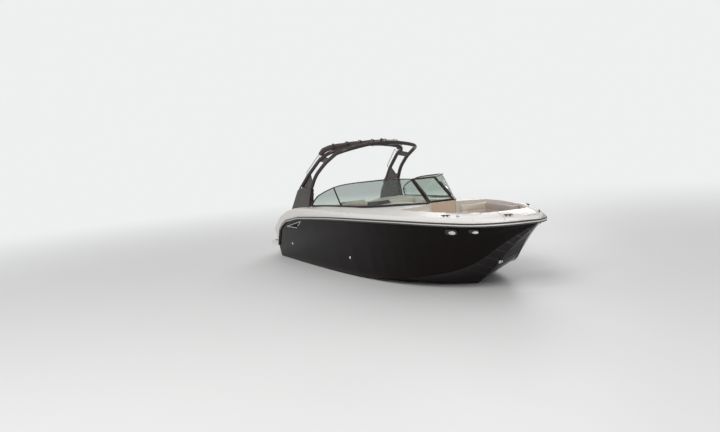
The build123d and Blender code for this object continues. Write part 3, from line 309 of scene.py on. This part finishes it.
def bars(name, lines, radius, finish, body, closed=False):
    """Round bars along lines of points, drawn as one curve and made a mesh with capped ends."""
    path = bpy.data.curves.new(name, "CURVE")
    path.dimensions = "3D"
    path.bevel_depth = radius
    path.bevel_resolution = 2
    path.use_fill_caps = not closed
    for line in lines:
        spline = path.splines.new("POLY")
        spline.points.add(len(line) - 1)
        spline.use_cyclic_u = closed
        for knot, point in zip(spline.points, line):
            knot.co = (*point, 1)
    drawn = bpy.data.objects.new(name + "_line", path)
    bpy.context.scene.collection.objects.link(drawn)
    ready = drawn.evaluated_get(bpy.context.evaluated_depsgraph_get())
    shape = bmesh.new()
    shape.from_mesh(bpy.data.meshes.new_from_object(ready))
    bpy.data.objects.remove(drawn)
    bmesh.ops.remove_doubles(shape, verts=shape.verts, dist=radius * 0.02)
    bmesh.ops.recalc_face_normals(shape, faces=shape.faces)
    piece = add_mesh(name, shape, finish, body)
    smooth(piece, 60)
    return piece


def between(points, gap):
    """Points at most gap apart along a line through the given ones."""
    line = []
    for start, end in zip(points, points[1:]):
        steps = max(1, math.ceil((end - start).length / gap))
        line += [start.lerp(end, step / steps) for step in range(steps)]
    return line + [points[-1]]


def on_side(tree, x, z, side):
    """A point of a tree's port side (1) or starboard side (-1), and its normal there."""
    return tree.ray_cast(Vector((x, side * 2, z)), Vector((0, -side, 0)))[:2]


hull_side = skin("hull", "side_vents")
trim_lines = []
for side in (-1, 1):
    middle = Vector((sum(x for x, z in VENT) / 3, 0, sum(z for x, z in VENT) / 3))
    corners = []
    for x, z in VENT + VENT[:1]:
        inward = middle - Vector((x, 0, z))
        corners.append(Vector((x, 0, z)) + inward.normalized() * VENT_TRIM_IN)
    flat = between(corners, SURFACE_STEP)[:-1]
    trim_lines.append([on_side(hull_side, point.x, point.z, side)[0] for point in flat])
bars("vent_trim", trim_lines, VENT_TRIM_R, stainless, "hull", closed=True)

# Skin fittings. Two turned stainless outlets on each side, one forward and one aft. Each is a flange
# bedded on the hull, with a throat that stands a little proud of it.
OUTLETS = [(3.524, 0.339), (0.9, 0.36)]
FLANGE = (0.026, -0.010, 0.004)
THROAT = (0.016, -0.002, 0.009)


def lay(point, normal):
    """The matrix that stands a piece made round the origin on a point of a surface."""
    return Matrix.Translation(point) @ normal.to_track_quat("Z", "Y").to_matrix().to_4x4()


def turned(shape, point, normal, radius, low, high, sides=24):
    """Adds a round disc to a bmesh, standing on a surface from one height over it to another."""
    bmesh.ops.create_cone(
        shape, cap_ends=True, segments=sides, radius1=radius, radius2=radius, depth=high - low,
        matrix=lay(point + normal * (low + high) / 2, normal))


outlet_shape = bmesh.new()
for side in (-1, 1):
    for x, z in OUTLETS:
        place, normal = on_side(hull_side, x, z, side)
        turned(outlet_shape, place, normal, *FLANGE)
        turned(outlet_shape, place, normal, *THROAT)
outlets = add_mesh("skin_outlets", outlet_shape, stainless, "hull")
smooth(outlets)

# Rub rail. Extruded dark vinyl, pressed over the joint of hull and deck and screwed through it.
# A polished stainless strip lies in its groove and covers the screws.
rail_vinyl = Finish("rail_vinyl")
scuff = rail_vinyl.noise(14.0, 5.0, 0.6, (0.3, 0.3, 1))
rail_vinyl.surface(
    Base_Color=rail_vinyl.mix(scuff, (0.030, 0.026, 0.025, 1), (0.060, 0.053, 0.050, 1)),
    Roughness=rail_vinyl.ramp(scuff, 0.3, 0.75, 0.34, 0.52),
)
rail_vinyl.bump(rail_vinyl.noise(180.0, 2.0), 0.0004)
dress(rail_vinyl, "rub_rail")

# Deck, lids, platform, consoles and seat bases. Glass fibre with a warm white gelcoat, moulded and
# polished, with a fine orange peel.
DECK_COLOUR = (0.80, 0.765, 0.735, 1)
deck_gelcoat = Finish("deck_gelcoat", Coat_Weight=0.12, Coat_Roughness=0.12)
cloud = deck_gelcoat.noise(1.6, 4.0)
speck = deck_gelcoat.noise(46.0, 5.0)
deck_gelcoat.surface(
    Base_Color=deck_gelcoat.mix(cloud, shade(DECK_COLOUR, 0.965), shade(DECK_COLOUR, 1.03)),
    Roughness=deck_gelcoat.ramp(speck, 0.3, 0.75, 0.30, 0.42),
)
deck_gelcoat.bump(deck_gelcoat.noise(3.0, 1.5), 0.0012, 0.4)
dress(deck_gelcoat, "deck", "engine_hatch", "anchor_hatch", "swim_platform", "helm_console", "port_console")
dress(deck_gelcoat, "port_seat_base", "aft_bench_base")

# Deck hardware. Black cleats, stainless studs for the cover along each side, a low grab rail beside
# the bow well, and the caulked joint of the anchor locker's deck.
STUDS = [
    # x, half breadth
    (1.50, 1.205), (2.22, 1.215), (2.97, 1.212), (3.70, 1.200), (4.40, 1.175),
    (5.05, 1.080), (5.70, 0.930), (6.485, 0.624), (6.70, 0.485),
]
STUD_R = 0.0085
GRAB_RAIL = [(5.93, 0.685), (6.10, 0.628), (6.28, 0.545), (6.44, 0.445)]
GRAB_RAIL_HIGH = 0.011
GRAB_RAIL_R = 0.007
CAULK = [(6.604, 0.279), (6.864, 0.355)]
CAULK_R = 0.002
satin_black = Finish("satin_black")
satin_black.surface(
    Base_Color=satin_black.mix(satin_black.noise(50.0), (0.010, 0.010, 0.010, 1), (0.022, 0.021, 0.021, 1)),
    Roughness=satin_black.ramp(satin_black.noise(90.0), 0.3, 0.7, 0.22, 0.4),
)
satin_black.bump(satin_black.noise(420.0, 2.0), 0.0002, 0.4)
dress(satin_black, "cleats")
deck_top = skin("deck")


def on_deck(x, y):
    """A point of the deck and its normal there."""
    return deck_top.ray_cast(Vector((x, y, 3)), Vector((0, 0, -1)))[:2]


def dome(shape, point, normal, radius, squash=(1, 1, 0.5)):
    """Adds a flattened ball to a bmesh, half sunk in a surface."""
    matrix = lay(point, normal) @ Matrix.Diagonal((*squash, 1))
    bmesh.ops.create_uvsphere(shape, u_segments=16, v_segments=10, radius=radius, matrix=matrix)


stud_shape = bmesh.new()
rail_lines = []
caulk_lines = []
for side in (-1, 1):
    for x, half in STUDS:
        dome(stud_shape, *on_deck(x, side * half), STUD_R)
    feet = [on_deck(x, side * half)[0] for x, half in GRAB_RAIL]
    raised = [foot + Vector((0, 0, GRAB_RAIL_HIGH)) for foot in feet]
    rail_lines.append([feet[0], *raised, feet[-1]])
    joint = between([Vector((x, side * half, 0)) for x, half in CAULK], SURFACE_STEP)
    caulk_lines.append([on_deck(point.x, point.y)[0] for point in joint])
studs = add_mesh("cover_studs", stud_shape, stainless, "hull")
smooth(studs, 60)
bars("bow_grab_rails", rail_lines, GRAB_RAIL_R, stainless, "hull")
bars("deck_caulk", caulk_lines, CAULK_R, satin_black, "hull")

# Bow lights. Black oval housings are screwed on under the rail. Each holds a bright faceted lens,
# domed, that looks ahead, outward and down.
LIGHT_LENSES = [
    # x, y, z, the way it looks as x, y, z, half length, half height
    (6.164, 0.757, 0.947, 0.41, 0.78, -0.47, 0.058, 0.030),
    (6.485, 0.581, 0.961, 0.48, 0.68, -0.56, 0.048, 0.020),
]
LENS_THICK = 0.009
BOW_RUN = (0.86, 0.51)
dress(satin_black, "bow_lights")
lens_finish = Finish("lens", Coat_Weight=0.6, Coat_Roughness=0.03)
facets = lens_finish.cells(130.0)
lens_finish.surface(
    Base_Color=lens_finish.mix(facets, (0.55, 0.54, 0.52, 1), (0.82, 0.81, 0.78, 1)),
    Roughness=lens_finish.ramp(facets, 0.0, 1.0, 0.06, 0.2),
    Metallic=lens_finish.ramp(facets, 0.0, 1.0, 0.8, 0.6),
)
lens_finish.bump(facets, 0.003, 0.6)
lens_shape = bmesh.new()
housings = skin("bow_lights")
for side in (-1, 1):
    for x, y, z, nx, ny, nz, long, high in LIGHT_LENSES:
        aim = Vector((nx, side * ny, nz)).normalized()
        front, normal = housings.ray_cast(Vector((x, side * y, z)) + aim * 0.3, -aim)[:2]
        along = Vector((BOW_RUN[0], -side * BOW_RUN[1], 0.0))
        along = (along - normal * along.dot(normal)).normalized()
        turn = Matrix((along, normal.cross(along), normal)).transposed().to_4x4()
        place = Matrix.Translation(front) @ turn @ Matrix.Diagonal((long, high, LENS_THICK, 1))
        bmesh.ops.create_uvsphere(lens_shape, u_segments=32, v_segments=12, radius=1.0, matrix=place)
lenses = add_mesh("bow_light_lenses", lens_shape, lens_finish, "hull")
smooth(lenses, 60)

# Cockpit liner. A second moulding, let into the deck and bonded to it, in cream gelcoat.
# It has a moulded grip texture and is a little stained by use.
liner_gelcoat = Finish("liner_gelcoat")
pebble = liner_gelcoat.cells(190.0)
stain = liner_gelcoat.noise(3.0, 5.0)
liner_gelcoat.surface(
    Base_Color=liner_gelcoat.mix(stain, (0.66, 0.61, 0.55, 1), (0.74, 0.70, 0.645, 1)),
    Roughness=liner_gelcoat.ramp(stain, 0.3, 0.7, 0.32, 0.46),
)
liner_gelcoat.bump(pebble, 0.0012, 0.5)
dress(liner_gelcoat, "cockpit_liner")

# Walkway and console doors. Tan moulded panels in satin gelcoat. Each hangs on knuckle hinges
# with a pin.
door_panel = Finish("door_panel", Coat_Weight=0.2, Coat_Roughness=0.2)
tint = door_panel.noise(5.0, 4.0)
door_panel.surface(
    Base_Color=door_panel.mix(tint, (0.62, 0.475, 0.345, 1), (0.72, 0.565, 0.43, 1)),
    Roughness=door_panel.ramp(tint, 0.3, 0.7, 0.3, 0.44),
)
door_panel.bump(door_panel.noise(240.0, 2.0), 0.0003, 0.4)
dress(door_panel, "wind_door", "console_door")

# Windscreen. Curved panes of faintly green glass in powder coated extrusions, which are screwed
# down to the deck. The centre door swings in its own frame.
screen_alloy = Finish("screen_alloy", Metallic=0.75)
grit = screen_alloy.noise(90.0, 4.0)
screen_alloy.surface(
    Base_Color=screen_alloy.mix(grit, (0.040, 0.030, 0.028, 1), (0.075, 0.058, 0.052, 1)),
    Roughness=screen_alloy.ramp(grit, 0.3, 0.7, 0.24, 0.36),
)
screen_alloy.bump(screen_alloy.noise(420.0, 2.0), 0.0002, 0.5)
dress(screen_alloy, "windscreen_frame", "windscreen_door_frame")
screen_glass = Finish(
    "screen_glass", Base_Color=(0.82, 0.925, 0.88, 1), IOR=1.45, Transmission_Weight=1.0)
smear = screen_glass.noise(5.0, 5.0, 0.6, (1, 1, 2.5))
screen_glass.surface(Roughness=screen_glass.ramp(smear, 0.45, 0.8, 0.0, 0.05))
dress(screen_glass, "windscreen_glass", "windscreen_door_glass")

# Dash, column, throttle and seat shell. Injection moulded plastic with a fine leather grain, screwed
# to the console and to the seat's post.
dash_plastic = Finish("dash_plastic")
hide = dash_plastic.cells(420.0)
fade = dash_plastic.noise(6.0, 3.0)
dash_plastic.surface(
    Base_Color=dash_plastic.mix(fade, (0.018, 0.017, 0.018, 1), (0.035, 0.033, 0.034, 1)),
    Roughness=dash_plastic.ramp(fade, 0.3, 0.7, 0.42, 0.55),
)
dash_plastic.bump(hide, 0.0005, 0.7)
dress(dash_plastic, "instrument_panel", "steering_column", "throttle_control", "helm_seat_shell")

# Dials and switches. Four round instruments stand on the panel's slope, over a row of rockers.
# Each has a stainless bezel and a black face with a light scale and needle, which carry a faint painted
# glow.
DIAL_Y = (-0.715, -0.625, -0.535, -0.445)
DIAL_AT = (3.660, 1.2525)
DIAL_LOOKS = (-0.882, 0, 0.470)
DIAL_R = 0.033
DIAL_SIDES = 40
BEZEL = (-0.004, 0.006)
FACE = (0.0, 0.0068)
FACE_SHARE = 0.86
TICKS = range(-120, 121, 30)
TICK_SHARE = (0.64, 0.78)
TICK_R = 0.0007
SWITCH_Y = (-0.745, -0.700, -0.655, -0.565, -0.520, -0.475)
SWITCH_AT = (3.6475, 1.160)
SWITCH_LOOKS = (-0.992, 0, -0.124)
SWITCH_SIZE = (0.024, 0.015, 0.012)
SWITCH_EDGE = 0.002
dial_face = Finish("dial_face", Coat_Weight=1.0, Coat_Roughness=0.02)
dial_face.surface(
    Base_Color=dial_face.mix(dial_face.noise(60.0), (0.008, 0.008, 0.009, 1), (0.016, 0.016, 0.018, 1)),
    Roughness=dial_face.ramp(dial_face.noise(20.0), 0.3, 0.7, 0.2, 0.3),
)
# The scale and needle emit faintly: a painted glow, though no lamp lights the dials.
dial_marks_painted_glow = Finish("dial_marks_painted_glow", Emission_Strength=0.3)
dial_marks_painted_glow.surface(
    Base_Color=dial_marks_painted_glow.mix(dial_marks_painted_glow.noise(90.0), (0.75, 0.75, 0.72, 1), (0.85, 0.85, 0.82, 1)),
    Roughness=dial_marks_painted_glow.ramp(dial_marks_painted_glow.noise(20.0), 0.3, 0.7, 0.4, 0.5),
)
bezel_shape = bmesh.new()
face_shape = bmesh.new()
rocker_shape = bmesh.new()
marks = []
looks = Vector(DIAL_LOOKS).normalized()
to_port = Vector((0, 1, 0))
uphill = looks.cross(to_port)
for y in DIAL_Y:
    middle = Vector((DIAL_AT[0], y, DIAL_AT[1]))
    turned(bezel_shape, middle, looks, DIAL_R, *BEZEL, DIAL_SIDES)
    turned(face_shape, middle, looks, DIAL_R * FACE_SHARE, *FACE, DIAL_SIDES)
    front = middle + looks * FACE[1]
    for degrees in TICKS:
        angle = math.radians(degrees)
        spoke = uphill * math.cos(angle) + to_port * math.sin(angle)
        marks.append([front + spoke * DIAL_R * share for share in TICK_SHARE])
    needle = uphill * 0.5 - to_port * 0.8
    marks.append([front, front + needle * DIAL_R * 0.5])
for y in SWITCH_Y:
    place = lay(Vector((SWITCH_AT[0], y, SWITCH_AT[1])), Vector(SWITCH_LOOKS).normalized())
    bmesh.ops.create_cube(rocker_shape, size=1.0, matrix=place @ Matrix.Diagonal((*SWITCH_SIZE, 1)))
bezels = add_mesh("dial_bezels", bezel_shape, stainless, "hull")
smooth(bezels)
faces = add_mesh("dial_faces", face_shape, dial_face, "hull")
smooth(faces)
bars("dial_scales", marks, TICK_R, dial_marks_painted_glow, "hull")
rockers = add_mesh("dash_switches", rocker_shape, satin_black, "hull")
bevel = rockers.modifiers.new("rounded", "BEVEL")
bevel.width = SWITCH_EDGE
smooth(rockers)

# Steering wheel. Rim, spokes and hub are wrapped in dark leather with a fine creased grain, and the
# hub is bolted to the end of the column.
wheel_leather = Finish("wheel_leather")
crease = wheel_leather.cells(260.0, "DISTANCE_TO_EDGE")
wear = wheel_leather.noise(9.0)
wheel_leather.surface(
    Base_Color=wheel_leather.mix(wear, (0.030, 0.022, 0.018, 1), (0.055, 0.042, 0.035, 1)),
    Roughness=wheel_leather.ramp(wheel_leather.noise(40.0), 0.3, 0.7, 0.36, 0.52),
)
wheel_leather.bump(wheel_leather.ramp(crease, 0.0, 0.12), 0.0005, 0.6)
dress(wheel_leather, "steering_wheel")

# Cushions. Foam in coated vinyl, cut proud so that the cover stays tight, crowned between its seams.
# Each is blown up from a smaller copy of its plain solid, drawn in along its sewn channels, and lies
# flat on its base. Welts stand along its edges, and thread lies in its channels.
CUSHION_VOXEL = 0.018
CUSHION_SHRINK = 0.009
CUSHION_PRESSURE = 4.0
CUSHION_FRAMES = 20
WELT_RADIUS = 0.0048
THREAD_RADIUS = 0.0014
CHANNEL_DEEP = 0.006
CHANNEL_WIDE = 0.013
CHANNEL_REACH = 3
LINE_GAP = 0.012
LINE_LEAST = 4
CREAM = ((0.62, 0.54, 0.44, 1), (0.72, 0.645, 0.545, 1))
GREY = ((0.36, 0.305, 0.275, 1), (0.44, 0.38, 0.345, 1))
HEAD_BLOCK_X = 5.0


def vinyl(name, colours, ahead=None):
    """Coated vinyl between two colours, or two others ahead of the head blocks of the bow well."""
    finish = Finish(name, Sheen_Weight=0.12, Sheen_Roughness=0.4)
    mottle = finish.noise(3.5, 4.0)
    base = finish.mix(mottle, *colours)
    if ahead:
        forward = finish.ramp(finish.axis("X"), HEAD_BLOCK_X - 0.002, HEAD_BLOCK_X + 0.002)
        base = finish.mix(forward, base, finish.mix(mottle, *ahead))
    pores = finish.cells(310.0, "DISTANCE_TO_EDGE")
    finish.surface(
        Base_Color=base,
        Roughness=finish.ramp(finish.noise(24.0, 4.0), 0.3, 0.75, 0.40, 0.56),
    )
    finish.bump(finish.ramp(pores, 0.0, 0.16) + finish.noise(7.0, 3.0) * 3.0, 0.0006, 0.6)
    return finish


def merged_copy(name):
    """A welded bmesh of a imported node."""
    shape = bmesh.new()
    shape.from_mesh(nodes[name].data)
    bmesh.ops.remove_doubles(shape, verts=shape.verts, dist=WELD_GAP)
    bmesh.ops.dissolve_limit(shape, angle_limit=math.radians(1), verts=shape.verts, edges=shape.edges)
    return shape


def apply_modifiers(piece):
    """Bakes the modifiers into the piece's own mesh."""
    ready = piece.evaluated_get(bpy.context.evaluated_depsgraph_get())
    mesh = bpy.data.meshes.new_from_object(ready)
    piece.modifiers.clear()
    piece.data = mesh


def stuffed(name, node, finish, body, cap, rest, seams):
    """A cushion that fills the node's solid: shrunk, remeshed, blown up to a cap, laid flat, sewn."""
    shape = merged_copy(node)
    bmesh.ops.triangulate(shape, faces=shape.faces)
    piece = add_mesh(name, shape, finish, None)
    inward = piece.modifiers.new("inward", "DISPLACE")
    inward.strength = -CUSHION_SHRINK
    inward.mid_level = 0.0
    remesh = piece.modifiers.new("remesh", "REMESH")
    remesh.mode = "VOXEL"
    remesh.voxel_size = CUSHION_VOXEL
    remesh.use_smooth_shade = True
    apply_modifiers(piece)
    start = [vert.co.copy() for vert in piece.data.vertices]
    blow_up(piece)
    for vert, origin in zip(piece.data.vertices, start):
        move = vert.co - origin
        if move.length > cap:
            vert.co = origin + move.normalized() * cap
    relax = piece.modifiers.new("relax", "SMOOTH")
    relax.iterations = 3
    piece.modifiers.new("finer", "SUBSURF")
    apply_modifiers(piece)
    if rest:
        lie_flat(piece, *rest)
    for sewn, point, normal in seams:
        draw_in(piece, Vector(point), Vector(normal).normalized())
    piece.data.materials.clear()
    piece.data.materials.append(finish.material)
    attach(piece, body)
    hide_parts(node)
    return piece


def blow_up(piece):
    """Swells a cover by the cloth simulation, under pressure and without gravity."""
    cloth = piece.modifiers.new("cover", "CLOTH")
    cloth.settings.use_pressure = True
    cloth.settings.uniform_pressure_force = CUSHION_PRESSURE
    cloth.settings.effector_weights.gravity = 0.0
    scene = bpy.context.scene
    for step in range(1, CUSHION_FRAMES + 1):
        scene.frame_set(step)
    apply_modifiers(piece)
    scene.frame_set(1)


def lie_flat(piece, point, normal):
    """Presses what has swollen past the base's plane back on to it."""
    up = Vector(normal).normalized()
    for vert in piece.data.vertices:
        below = (vert.co - Vector(point)).dot(up)
        if below < 0:
            vert.co -= up * below


def draw_in(piece, point, normal):
    """Sinks the cover along a plane, as a row of stitches does."""
    outward = [vert.normal.copy() for vert in piece.data.vertices]
    for vert, out in zip(piece.data.vertices, outward):
        off = (vert.co - point).dot(normal) / CHANNEL_WIDE
        if abs(off) < CHANNEL_REACH:
            vert.co -= out * CHANNEL_DEEP * math.exp(-off * off)


def sewn_line(piece, point, normal, low):
    """The lines where a plane cuts a piece over a height, each as evenly spaced points."""
    shape = bmesh.new()
    shape.from_mesh(piece.data)
    bmesh.ops.bisect_plane(
        shape, geom=[*shape.verts, *shape.edges, *shape.faces], plane_co=point, plane_no=normal,
        clear_inner=True, clear_outer=True)
    bmesh.ops.delete(shape, geom=[vert for vert in shape.verts if vert.co.z < low], context="VERTS")
    unused = set(shape.verts)
    ends = [vert for vert in shape.verts if len(vert.link_edges) == 1]
    lines = []
    for vert in [*ends, *shape.verts]:
        first = vert
        line = []
        while vert in unused:
            unused.discard(vert)
            if not line or (vert.co - line[-1]).length > LINE_GAP:
                line.append(vert.co.copy())
            last = vert
            around = [edge.other_vert(vert) for edge in vert.link_edges]
            vert = next((other for other in around if other in unused), vert)
        if len(line) >= LINE_LEAST:
            if first in [edge.other_vert(last) for edge in last.link_edges]:
                line.append(line[0])
            lines.append(line)
    shape.free()
    return lines


cream_vinyl = vinyl("cream_vinyl", CREAM)
bow_vinyl = vinyl("bow_vinyl", CREAM, GREY)
thread = Finish("thread", Base_Color=(0.3, 0.26, 0.22, 1))
thread.surface(Roughness=thread.ramp(thread.noise(300.0), 0.3, 0.7, 0.6, 0.8))
SUNPAD_UP = (-0.0995, 0, 1)
ACROSS = (0, 1, 0)
ALONG = (1, 0, 0)
LEVEL = (0, 0, 1)
CUSHIONS = [
    # piece, node, finish, body, how far it may swell, how full it is,
    # height over which seams show, a point of the base, the base's normal,
    # and its seams: what is sewn there, a point of the seam's plane, the plane's normal
    ("bow_seat_pads", "bow_seat_cushions", cream_vinyl, "hull", 0.012, 0.8,
     0.74, (0, 0, 0.721), LEVEL, [
        ("welt", (0, 0, 0.812), LEVEL),
        ("thread", (5.20, 0, 0), ALONG),
        ("thread", (5.53, 0, 0), ALONG),
        ("thread", (5.862, 0, 0), ALONG),
    ]),
    ("bow_back_pads", "bow_backrests", bow_vinyl, "hull", 0.012, 0.8,
     0.85, (0, 0, 0.826), LEVEL, [
        ("welt", (0, 0, 1.180), LEVEL),
        ("thread", (0, 0, 1.075), LEVEL),
        ("thread", (5.3, 0, 0), (1, 0.2, 0)),
        ("thread", (5.7, 0, 0), (1, 0.3, 0)),
    ]),
    ("sunpad", "sunpad_cushion", cream_vinyl, "engine_hatch", 0.014, 0.8,
     0.84, (0.19, 0, 0.825), SUNPAD_UP, [
        ("welt", (0.19, 0, 0.914), SUNPAD_UP),
        ("thread", (0.71, 0, 0), ALONG),
        ("thread", (0, 0.335, 0), ACROSS),
        ("thread", (0, -0.335, 0), ACROSS),
    ]),
    ("aft_bench_pad", "aft_bench_cushion", cream_vinyl, "hull", 0.013, 0.7,
     0.63, (0, 0, 0.611), LEVEL, [
        ("welt", (0, 0.826, 0), ACROSS),
        ("welt", (0, -0.826, 0), ACROSS),
        ("thread", (0, 0.28, 0), ACROSS),
        ("thread", (0, -0.28, 0), ACROSS),
        ("thread", (0, 0, 1.02), LEVEL),
    ]),
    ("port_seat_pad", "port_seat_cushion", cream_vinyl, "hull", 0.013, 0.7,
     0.63, (0, 0, 0.611), LEVEL, [
        ("welt", (0, 0.374, 0), ACROSS),
        ("welt", (0, 0.897, 0), ACROSS),
        ("thread", (2.95, 0, 0), ALONG),
        ("thread", (0, 0, 1.07), LEVEL),
    ]),
    ("helm_seat_pad", "helm_seat_cushion", cream_vinyl, "helm_seat", 0.012, 0.7,
     0.66, (0, 0, 0.642), LEVEL, [
        ("welt", (0, -0.751, 0), ACROSS),
        ("welt", (0, -0.309, 0), ACROSS),
        ("thread", (0, -0.645, 0), ACROSS),
        ("thread", (0, -0.415, 0), ACROSS),
        ("thread", (0, 0, 1.15), LEVEL),
    ]),
]
for name, node, finish, body, cap, fill, low, base, base_up, seams in CUSHIONS:
    pad = stuffed(name, node, finish, body, cap, (base, base_up), seams)
    for kind, radius, sewn_with in (("welt", WELT_RADIUS, finish), ("thread", THREAD_RADIUS, thread)):
        lines = []
        for sewn, point, normal in seams:
            if sewn == kind:
                lines += sewn_line(pad, Vector(point), Vector(normal).normalized(), low)
        bars(f"{name}_{kind}", lines, radius, sewn_with, body)

# Sole and platform mats. Brown closed cell foam, glued down, with planks routed in it along
# the boat.
PLANK_HALF = 0.03
GROOVE_HALF = 0.0028
mat_foam = Finish("mat_foam")
plank = mat_foam.node("ShaderNodeMath", {"operation": "PINGPONG"}, {0: mat_foam.axis("Y"), 1: PLANK_HALF})
groove = mat_foam.ramp(plank, 0.0, GROOVE_HALF, 1.0, 0.0)
nap = mat_foam.noise(260.0, 3.0)
foam = mat_foam.mix(nap, (0.20, 0.145, 0.10, 1), (0.27, 0.20, 0.145, 1))
mat_foam.surface(
    Base_Color=mat_foam.mix(groove, foam, (0.06, 0.045, 0.035, 1)),
    Roughness=mat_foam.ramp(nap, 0.3, 0.7, 0.72, 0.9),
)
mat_foam.bump((1 - groove) * 2.0 + nap * 0.4, 0.0015)
dress(mat_foam, "sole_mat", "platform_mat")

# Arch. Two hoops of aluminium tube with flat panels between, hinged on feet that are bolted to the
# deck. All of it is painted bronze brown, with a metallic fleck.
arch_paint = Finish("arch_paint", Coat_Weight=0.3, Coat_Roughness=0.18)
pearl = arch_paint.noise(70.0, 4.0)
arch_paint.surface(
    Base_Color=arch_paint.mix(pearl, (0.036, 0.0265, 0.025, 1), (0.060, 0.046, 0.043, 1)),
    Metallic=arch_paint.ramp(pearl, 0.4, 0.8, 0.25, 0.5),
    Roughness=arch_paint.ramp(arch_paint.noise(6.0), 0.3, 0.7, 0.26, 0.36),
)
arch_paint.bump(arch_paint.noise(120.0, 2.0), 0.0002, 0.4)
dress(arch_paint, "arch_frame", "arch_feet", "arch_panels")

# Boot. The canopy lies furled along the aft hoop in a sleeve of brown acrylic canvas. The sleeve is
# swollen by the cloth in it, drawn in under the straps and loosely folded.
canvas = Finish("canvas", Sheen_Weight=0.35, Sheen_Roughness=0.5)
plain_weave = canvas.wave("X", 170.0) * canvas.wave("Y", 170.0)
weather = canvas.noise(7.0, 5.0)
canvas.surface(
    Base_Color=canvas.mix(weather, (0.050, 0.034, 0.029, 1), (0.088, 0.064, 0.055, 1)),
    Roughness=canvas.ramp(weather, 0.3, 0.7, 0.78, 0.92),
)
canvas.bump(plain_weave + canvas.noise(16.0, 4.0) * 6.0, 0.0011, 0.8)
STRAP_PLACES = (0.14, 0.42, 0.69)
FOLD_DEEP = 0.007
FOLD_SCALE = Vector((26, 7, 26))
strap_planes = [("strap", (0, side * y, 0), ACROSS) for side in (-1, 1) for y in STRAP_PLACES]
furled = stuffed(
    "furled_canopy", "bimini_boot", canvas, "arch", cap=0.012, rest=None, seams=strap_planes)
outward = [vert.normal.copy() for vert in furled.data.vertices]
for vert, out in zip(furled.data.vertices, outward):
    vert.co += out * FOLD_DEEP * noise.noise(vert.co * FOLD_SCALE)

# Straps. Flat webbing with a diagonal weave, pulled tight round the furled canopy at six places
# and sewn to itself.
STRAP_WIDE = 0.028
STRAP_THICK = 0.003
STRAP_R = 0.0675
BOOT_LINE = [
    # half breadth, x, z
    (0.0, 2.315, 2.333), (0.28, 2.312, 2.330), (0.56, 2.305, 2.315), (0.775, 2.225, 2.292),
]
webbing = Finish("webbing")
weave = webbing.wave("DIAGONAL", 300.0)
webbing.surface(
    Base_Color=webbing.mix(webbing.noise(30.0), (0.012, 0.010, 0.010, 1), (0.026, 0.022, 0.020, 1)),
    Roughness=webbing.ramp(weave, 0.0, 1.0, 0.6, 0.8),
)
webbing.bump(weave, 0.0004)
strap_shape = bmesh.new()
for side in (-1, 1):
    for place in STRAP_PLACES:
        for (y0, x0, z0), (y1, x1, z1) in zip(BOOT_LINE, BOOT_LINE[1:]):
            if y0 <= place < y1:
                part = (place - y0) / (y1 - y0)
                middle = Vector((x0 + (x1 - x0) * part, side * place, z0 + (z1 - z0) * part))
                along = Vector((x1 - x0, side * (y1 - y0), z1 - z0)).normalized()
        bmesh.ops.create_cone(
            strap_shape, cap_ends=False, segments=32, radius1=STRAP_R, radius2=STRAP_R, depth=STRAP_WIDE,
            matrix=lay(middle, along))
straps = add_mesh("canopy_straps", strap_shape, webbing, "arch")
thickness = straps.modifiers.new("thickness", "SOLIDIFY")
thickness.thickness = STRAP_THICK
thickness.offset = 1.0
smooth(straps)

# Lamps on the arch. An all-round light stands on the top. Each side has a courtesy light, a small
# domed lens in a polished ring.
COURTESY_AT = (1.33, 1.53)
RING_R = 0.026
RING_SQUASH = (0.7, 1.0, 0.35)
GLOW_R = 0.018
GLOW_SQUASH = (0.7, 1.0, 0.5)
GLOW_UP = 0.004
dress(satin_black, "anchor_light")
shoe_side = skin("arch_frame")
ring_shape = bmesh.new()
glow_shape = bmesh.new()
for side in (-1, 1):
    place, normal = on_side(shoe_side, *COURTESY_AT, side)
    dome(ring_shape, place, normal, RING_R, RING_SQUASH)
    dome(glow_shape, place + normal * GLOW_UP, normal, GLOW_R, GLOW_SQUASH)
rings = add_mesh("courtesy_rings", ring_shape, stainless, "arch")
smooth(rings, 60)
glows = add_mesh("courtesy_lenses", glow_shape, lens_finish, "arch")
smooth(glows, 60)

# Stern drive. Die cast aluminium in satin black, on a gimbal bolted to the transom. The propellers
# and the rods of the trim cylinders are brushed stainless.
drive_paint = Finish("drive_paint", Coat_Weight=0.25, Coat_Roughness=0.22)
cast = drive_paint.noise(55.0, 5.0)
drive_paint.surface(
    Base_Color=drive_paint.mix(cast, (0.018, 0.018, 0.020, 1), (0.034, 0.034, 0.037, 1)),
    Roughness=drive_paint.ramp(cast, 0.3, 0.7, 0.30, 0.44),
)
drive_paint.bump(drive_paint.noise(300.0, 3.0), 0.0004, 0.5)
dress(drive_paint, "gimbal_housing", "gimbal_ring", "drive_leg", "trim_barrels")
blade_steel = bright_metal("blade_steel", (0.62, 0.61, 0.60, 1), 0.22, 24.0)
dress(blade_steel, "propeller_fore", "propeller_aft", "trim_rods")

# Engine. One plain block in its bay, a painted casting, rough and a little oily. The hatch with the
# sunpad closes over it.
engine_casting = Finish("engine_casting")
oil = engine_casting.noise(18.0, 5.0)
engine_casting.surface(
    Base_Color=engine_casting.mix(oil, (0.03, 0.03, 0.032, 1), (0.075, 0.075, 0.08, 1)),
    Roughness=engine_casting.ramp(oil, 0.3, 0.7, 0.45, 0.7),
)
engine_casting.bump(engine_casting.noise(70.0, 4.0), 0.002, 0.6)
dress(engine_casting, "engine_block")
